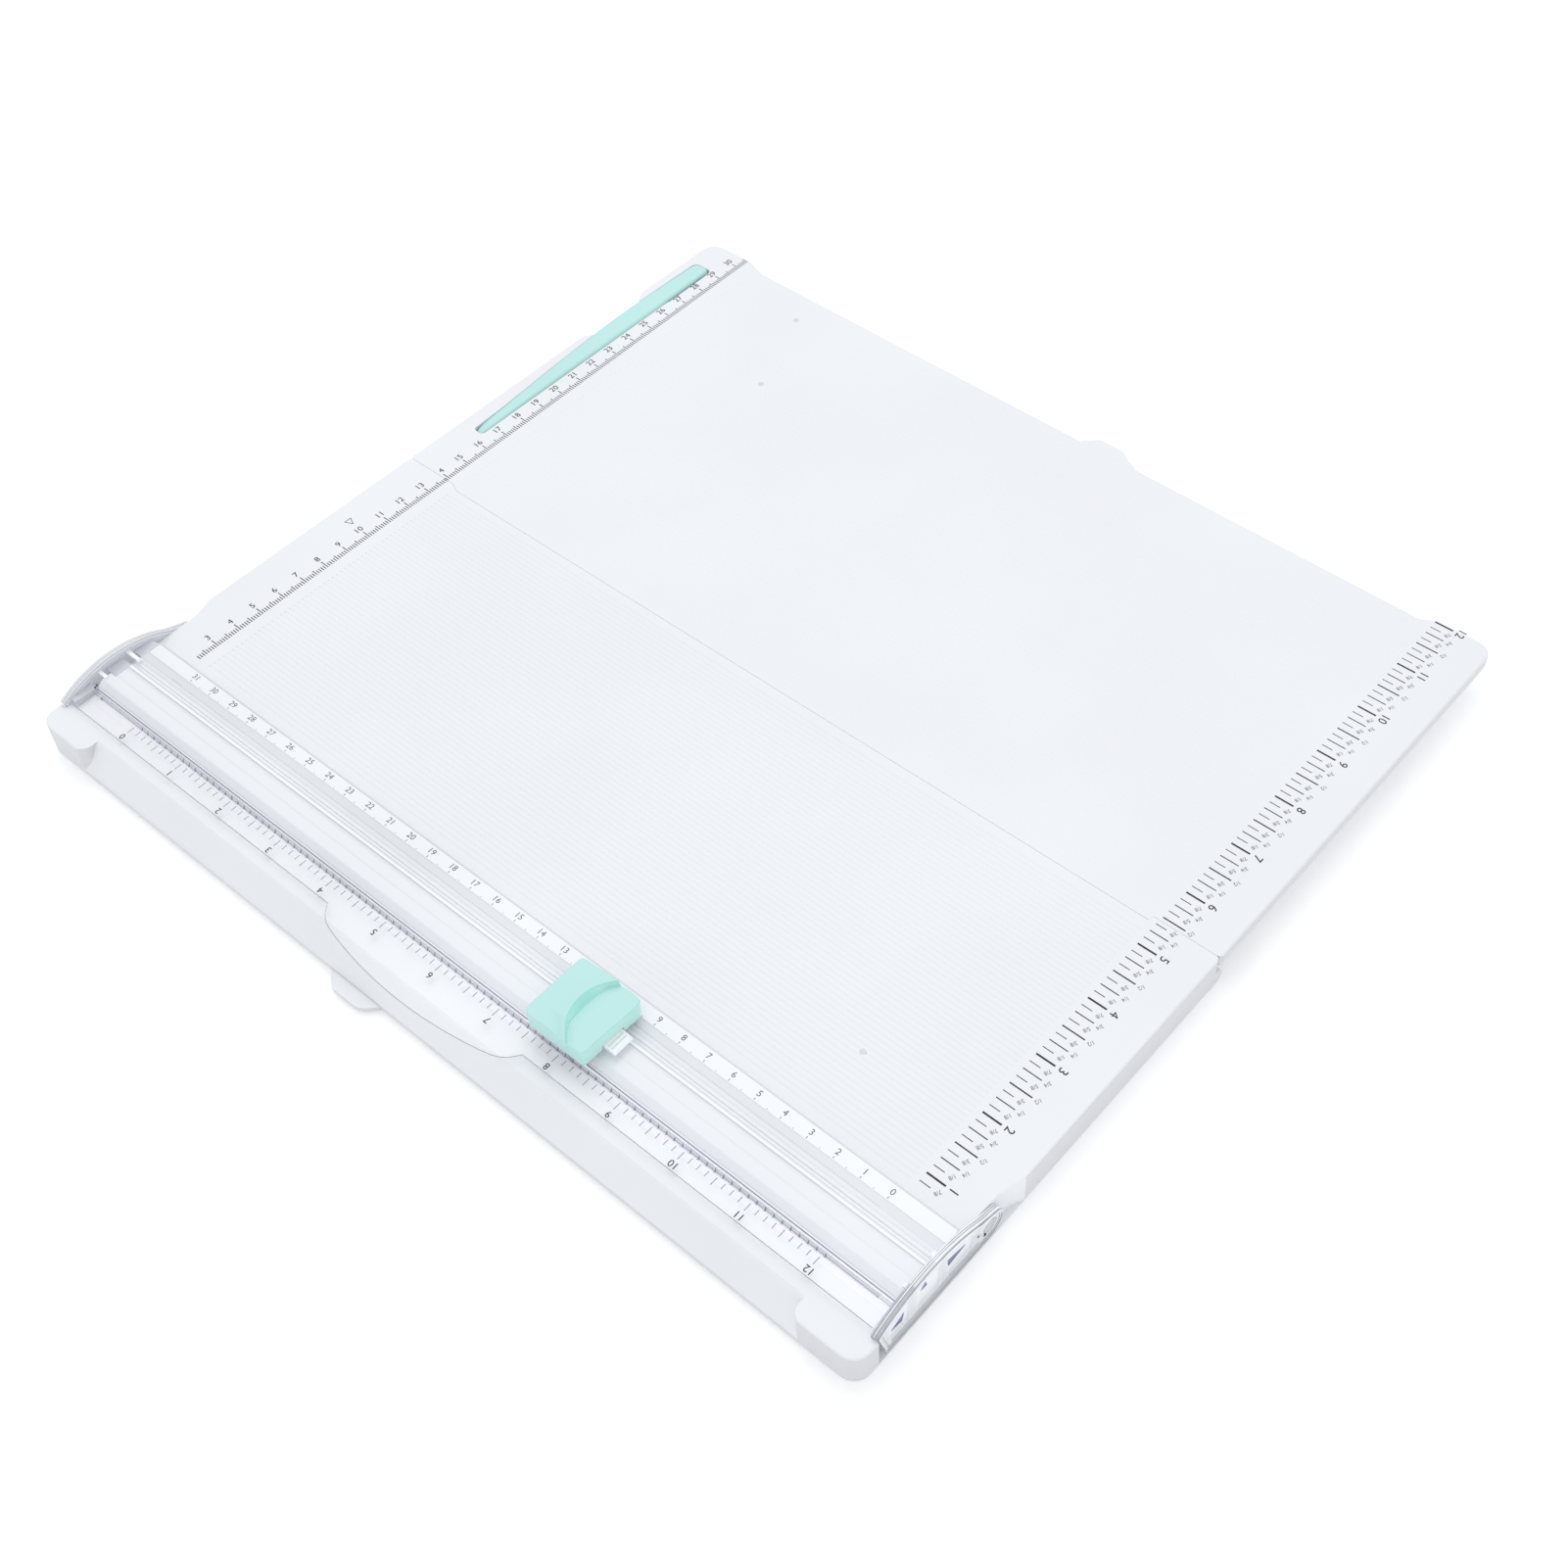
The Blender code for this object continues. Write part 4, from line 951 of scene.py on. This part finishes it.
    # clips that reach in over the bar and the bands
    bm = bmesh.new()
    base, wall = PLATE_TOP + 0.3, 178.4
    for y0, y1, reach, high in ((-131.75, -130.3, 171.5, 19.6), (-143.9, -142.5, 174.0, 19.4)):
        reach = reach if side < 0 else 176.6
        plan = [(side * reach, y0), (side * wall, y0), (side * wall, y1), (side * reach, y1)]
        slab(bm, plan, 18.72, high, 0.1, 0.25, 2, B_PALE)
    if side < 0:
        # the blocks between the left bracket and the bar, the strip and the plate
        for x, y0, y1, wall_y, low, high in ((-172.5, -140.6, -133.6, -133.6, base, 18.2),
                                             (-173.3, -129.0, -120.6, -121.6, base, 17.6),
                                             (-175.2, -156.4, -147.2, -147.2, 15.0, 16.9)):
            slab(bm, [(x, y0), (x, y1), (-wall, wall_y), (-wall, y0)], low, high, 0.1, 0.3, 2, B_VIOLET)
        # two dots of painted shade at the slot's left end, by the bracket
        for y in (-147.9, -146.9):
            prism(bm, circle((-175.6 - 0.35 * (y + 147.4), y), 0.36, 10), 16.92, 17.1, "Z", B_SHADE)
    clips = obj_from(bm, name + "_clips", BRACKET_MATS)
    smooth(clips, 35)
    place(clips, "rail_arm", "clear_plastic")


stylus()
plate()
rail()
strip()
bracket(-1, "left_arch", "left_bracket")
bracket(1, "right_arch", "right_bracket")


# ---------------------------------------------------------------- prints on the arm
def arm_scales():
    """Inches in front of the blade slot, marks down the strip's groove, centimetres on the white strip."""
    ticks = Print("front_scale", "rail_arm", PLATE_TOP, SOFT_INK, "clear_plastic")
    numbers = Print("front_numbers", "rail_arm", PLATE_TOP, INK, "clear_plastic")
    ladder = Print("strip_marks", "near_half", TOP - 0.05, BLUE_INK, "frosted_plastic")
    groove = [(0.62, 0.02), (0.32, -1.02), (-0.32, -1.02), (-0.62, 0.02),
              (-0.54, 0.02), (-0.25, -0.95), (0.25, -0.95), (0.54, 0.02)]
    groove = [(CM0 - 12.8 + y, TOP - 0.05 + z) for y, z in groove]
    for e in range(0, 97):
        x = FRONT_INCH[1] + FRONT_INCH[0] * e / 8
        long = e % 4 == 0
        ticks.bar(x - 0.11, x + 0.11, CM0 - (17.75 if long else 16.9), CM0 - 14.85)
        prism(ladder.bm, groove, x - 0.17, x + 0.17, "X")
        if e % 8 == 0:
            numbers.text(str(e // 8), (x, CM0 - 19.9), 2.4, 180, 1.0, 0.01)
    ticks.done()
    numbers.done()
    ladder.done()
    pitch, zero = REAR_CM
    cm = Print("rear_scale", "rail_arm", SCALE_TOP, GREY_INK)
    line = Print("rear_line", "rail_arm", LOW_BAND, LINE_GREY, "frosted_plastic")
    line.bar(-157.0, zero, -128.95, -128.55)
    line.done()
    dots = Print("rear_dots", "rail_arm", LOW_BAND + 0.03, PALE_INK, "frosted_plastic")
    for half_cm in range(0, 63):
        x = zero - pitch / 2 * half_cm
        cm.bar(x - 0.1, x + 0.1, -125.7, -124.9 if half_cm % 2 == 0 else -125.4)
        if half_cm % 2 == 0:
            cm.text(str(half_cm // 2), (x, -123.05), 2.2, 0)
    for mm in range(0, 311):
        x = zero - pitch / 10 * mm
        dots.bar(x - 0.22, x + 0.22, -128.85, -128.5)
    cm.done()
    dots.done()


arm_scales()


# ---------------------------------------------------------------- small parts of the near half
def corner_shade():
    """A thin sheet of painted shade on the right notch's wall, for the dark hollow under the right bracket's
    front corner.
    """
    bm = bmesh.new()
    side = [(-156.6, 1.2), (-153.4, 1.2), (-153.4, 4.0), (-155.0, 8.0), (-156.6, 8.0)]
    prism(bm, side, NOTCH_X - 0.02, NOTCH_X + 0.03, "X")
    place(obj_from(bm, "corner_shade", [GAP_SHADE]), "near_half", "white_plastic")


corner_shade()


def strip_ends():
    """The cutting strip's ends run on past its groove, level with the board."""
    bm = bmesh.new()
    inner = STRIP_HALF + 0.02
    for low, high in ((inner, 177.8), (-174.9, -inner)):
        box(bm, (low, high), STRIP_Y, (TOP - 0.06, TOP + 0.01))
    place(obj_from(bm, "strip_ends", [STRIP_MILKY]), "near_half", "frosted_plastic")


strip_ends()


# ---------------------------------------------------------------- cutter
CUT_X = 50.4  # x of the cutter where the photograph shows it


def cap():
    """The push cap: a ramp up to a curved crest, a thumb scoop beside it, all edges soft."""
    left, right, front, back, flare = CUT_X - 12.25, CUT_X + 12.25, -150.3, -125.1, 0.9
    bottom, flat_z, crest_z = TOP + 6.0, TOP + 12.5, TOP + 14.1
    plan = [(left, front), (right, front), (right + flare, back), (left, back)]
    plan = rounded(plan, [2.6, 1.2, 2.8, 1.6], 5)
    bm = bmesh.new()
    prism(bm, plan, bottom, crest_z + 2)
    obj = obj_from(bm, "push_cap", [CAP_MINT])

    def height(x, y):
        """The top's height: v runs from -1 in front to 1 behind."""
        v = (y - (front + back) / 2) / ((back - front) / 2)
        crest = CUT_X - 1.7 + 6.3 * (v - 0.08) ** 2
        chord = max(crest + 0.5, CUT_X + 1.3)
        if x <= crest:
            run = max(0.0, (x - left) / (crest - left))
            z = flat_z - 0.2 + (crest_z - flat_z + 0.2) * run ** 1.4
            if v < -0.55:
                z -= 1.5 * (-0.55 - v) / 0.45 * max(0.0, 1 - abs(x - crest + 3.0) / 5.0)
            return z
        low = flat_z - 0.7
        if x <= chord:
            s = (x - crest) / (chord - crest)
            return low + (crest_z - low) * (1 - s) ** 1.25
        return low + 0.7 * min(1.0, (x - chord) / 3.5) ** 0.7

    # all that stands above the top is cut away: a grid at the top's height, closed over the crest
    n = 72
    bm = bmesh.new()
    grid = []
    for j in range(n + 1):
        y = front - 1 + (back - front + 2) * j / n
        row = []
        for i in range(n + 1):
            x = left - 1 + (right - left + 2) * i / n
            row.append(bm.verts.new((x, y, height(x, y))))
        grid.append(row)
    for j in range(n):
        for i in range(n):
            bm.faces.new((grid[j][i], grid[j][i + 1], grid[j + 1][i + 1], grid[j + 1][i]))
    rim = grid[0][:-1] + [r[-1] for r in grid[:-1]] + grid[-1][:0:-1] + [r[0] for r in grid[:0:-1]]
    lid = [bm.verts.new((v.co.x, v.co.y, crest_z + 5)) for v in rim]
    for i, v in enumerate(rim):
        k = (i + 1) % len(rim)
        bm.faces.new((v, rim[k], lid[k], lid[i]))
    bm.faces.new(lid)
    cut(obj, bm)

    # the hollow for the blade holder, and the window for its tab
    bm = bmesh.new()
    box(bm, (left + 1.6, right - 1.6), (-149.1, back - 1.5), (bottom - 1, TOP + 11.2))
    cut(obj, bm)
    bm = bmesh.new()
    box(bm, (right - 3, right + 3), (-142.4, -133.7), (bottom - 1, TOP + 8.1))
    cut(obj, bm)
    soften(obj, 0.24, 5)
    return place(obj, "cutter_head", "mint_plastic", "cutter_cap")


def soften(obj, voxel, rounds, keep=0.25):
    """Rounds every edge a little, as moulding does."""
    m = obj.modifiers.new("r", "REMESH")
    m.mode, m.voxel_size = "VOXEL", voxel * MM
    m = obj.modifiers.new("s", "SMOOTH")
    m.factor, m.iterations = 0.5, rounds
    m = obj.modifiers.new("d", "DECIMATE")
    m.ratio = keep
    bake(obj)
    smooth(obj, 180)


def cartridge():
    """The blade holder under the cap: only its clear tab shows, on the right."""
    bottom, top = TOP + 6.2, TOP + 7.8
    # both plastics of the holder carry a painted glow
    clear = see_through("holder_clear", (0.93, 0.95, 0.96), 0.7, 0.15, sheen=0.12)
    edge = see_through("holder_edge", (0.74, 0.77, 0.78), 0.6, 0.15, sheen=0.1)
    bm = bmesh.new()
    pts = [(47.0, -148.1), (59.8, -148.1), (59.8, -134.2), (47.0, -134.2)]
    slab(bm, rounded(pts, 0.5, 3), bottom + 2.0, TOP + 10.9, 0.2, 0.4, 2)
    obj = obj_from(bm, "blade_holder", [clear, edge])
    bm = bmesh.new()
    side = [(58.0, bottom + 2.4), (58.0, top + 1.6), (60.8, top + 0.7), (62.6, top), (66.6, top - 0.5),
            (67.2, top - 0.8), (67.4, bottom + 0.4), (67.0, bottom), (63.4, bottom), (61.8, bottom + 0.6),
            (60.9, bottom + 1.2), (60.5, bottom + 2.0)]
    prism(bm, side, -141.85, -134.25, "Y")
    cut(obj, bm, "UNION")
    bm = bmesh.new()
    for x in (63.9, 65.2):
        box(bm, (x, x + 0.35), (-141.2, -134.9), (top - 0.75, top + 1), 1)
    cut(obj, bm)
    smooth(obj)
    return place(obj, "cutter_head", "frosted_plastic", "blade_cartridge")


cap()
cartridge()


# ---------------------------------------------------------------- finishes on the CAD nodes that stay
def repaint(names, mat):
    for n in names:
        mesh = NODES[n].data
        mesh.materials.clear()
        mesh.materials.append(mat)


repaint(["bottom_cover"], WHITE)
repaint(["cutting_strip"], STRIP_MILKY)
repaint(["carriage_shoe"], MILKY)
repaint([n for n in NODES if "foot" in n], RUBBER)
repaint([n for n in NODES if "screw" in n or "pin" in n or "spring" in n or n == "blade"], STEEL)
for spring in [n for n in NODES if "spring" in n]:
    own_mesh(NODES[spring])


# ---------------------------------------------------------------- stage
FLOOR_REACH, FLOOR_GLOW = 40000, 0.18
SKY_STRENGTH, KEY_STRENGTH = 0.86, 0.62
KEY_FROM = (-0.45, 0.45, 1.0)  # the key light comes from behind and the left
EYE, GAZE = (0.33693, -0.34935, 0.54299), (39.8245, 1.9292, 41.0874)  # metres, degrees
LENS = 48.481


def stage():
    """Pale floor, soft light from all round with a gentle key, and the photograph's viewpoint."""
    bm = bmesh.new()
    bmesh.ops.create_grid(bm, x_segments=1, y_segments=1, size=FLOOR_REACH)
    floor = obj_from(bm, "floor", [plastic("pale_floor", (0.97, 0.97, 0.975), 0.7, 0.004, 60.0, 0.0, 0.2)])
    glow = floor.data.materials[0].node_tree.nodes["Principled BSDF"]
    glow.inputs["Emission Color"].default_value = (1.0, 1.0, 1.0, 1)
    glow.inputs["Emission Strength"].default_value = FLOOR_GLOW
    world = bpy.data.worlds.new("studio")
    bpy.context.scene.world = world
    world.use_nodes = True
    bg = world.node_tree.nodes["Background"]
    bg.inputs["Color"].default_value = (0.97, 0.985, 1.0, 1)
    bg.inputs["Strength"].default_value = SKY_STRENGTH
    key = bpy.data.lights.new("key", "SUN")
    key.angle, key.energy = math.radians(50), KEY_STRENGTH
    lamp = bpy.data.objects.new("key", key)
    bpy.context.scene.collection.objects.link(lamp)
    lamp.rotation_euler = Vector(KEY_FROM).to_track_quat("Z", "Y").to_euler()
    cam = bpy.data.cameras.new("camera")
    cam.sensor_width, cam.lens = 36.0, LENS
    cam.clip_start = 0.01
    eye = bpy.data.objects.new("camera", cam)
    bpy.context.scene.collection.objects.link(eye)
    eye.location = EYE
    eye.rotation_euler = [math.radians(a) for a in GAZE]
    bpy.context.scene.camera = eye
    bpy.context.scene.view_settings.view_transform = "Standard"


stage()
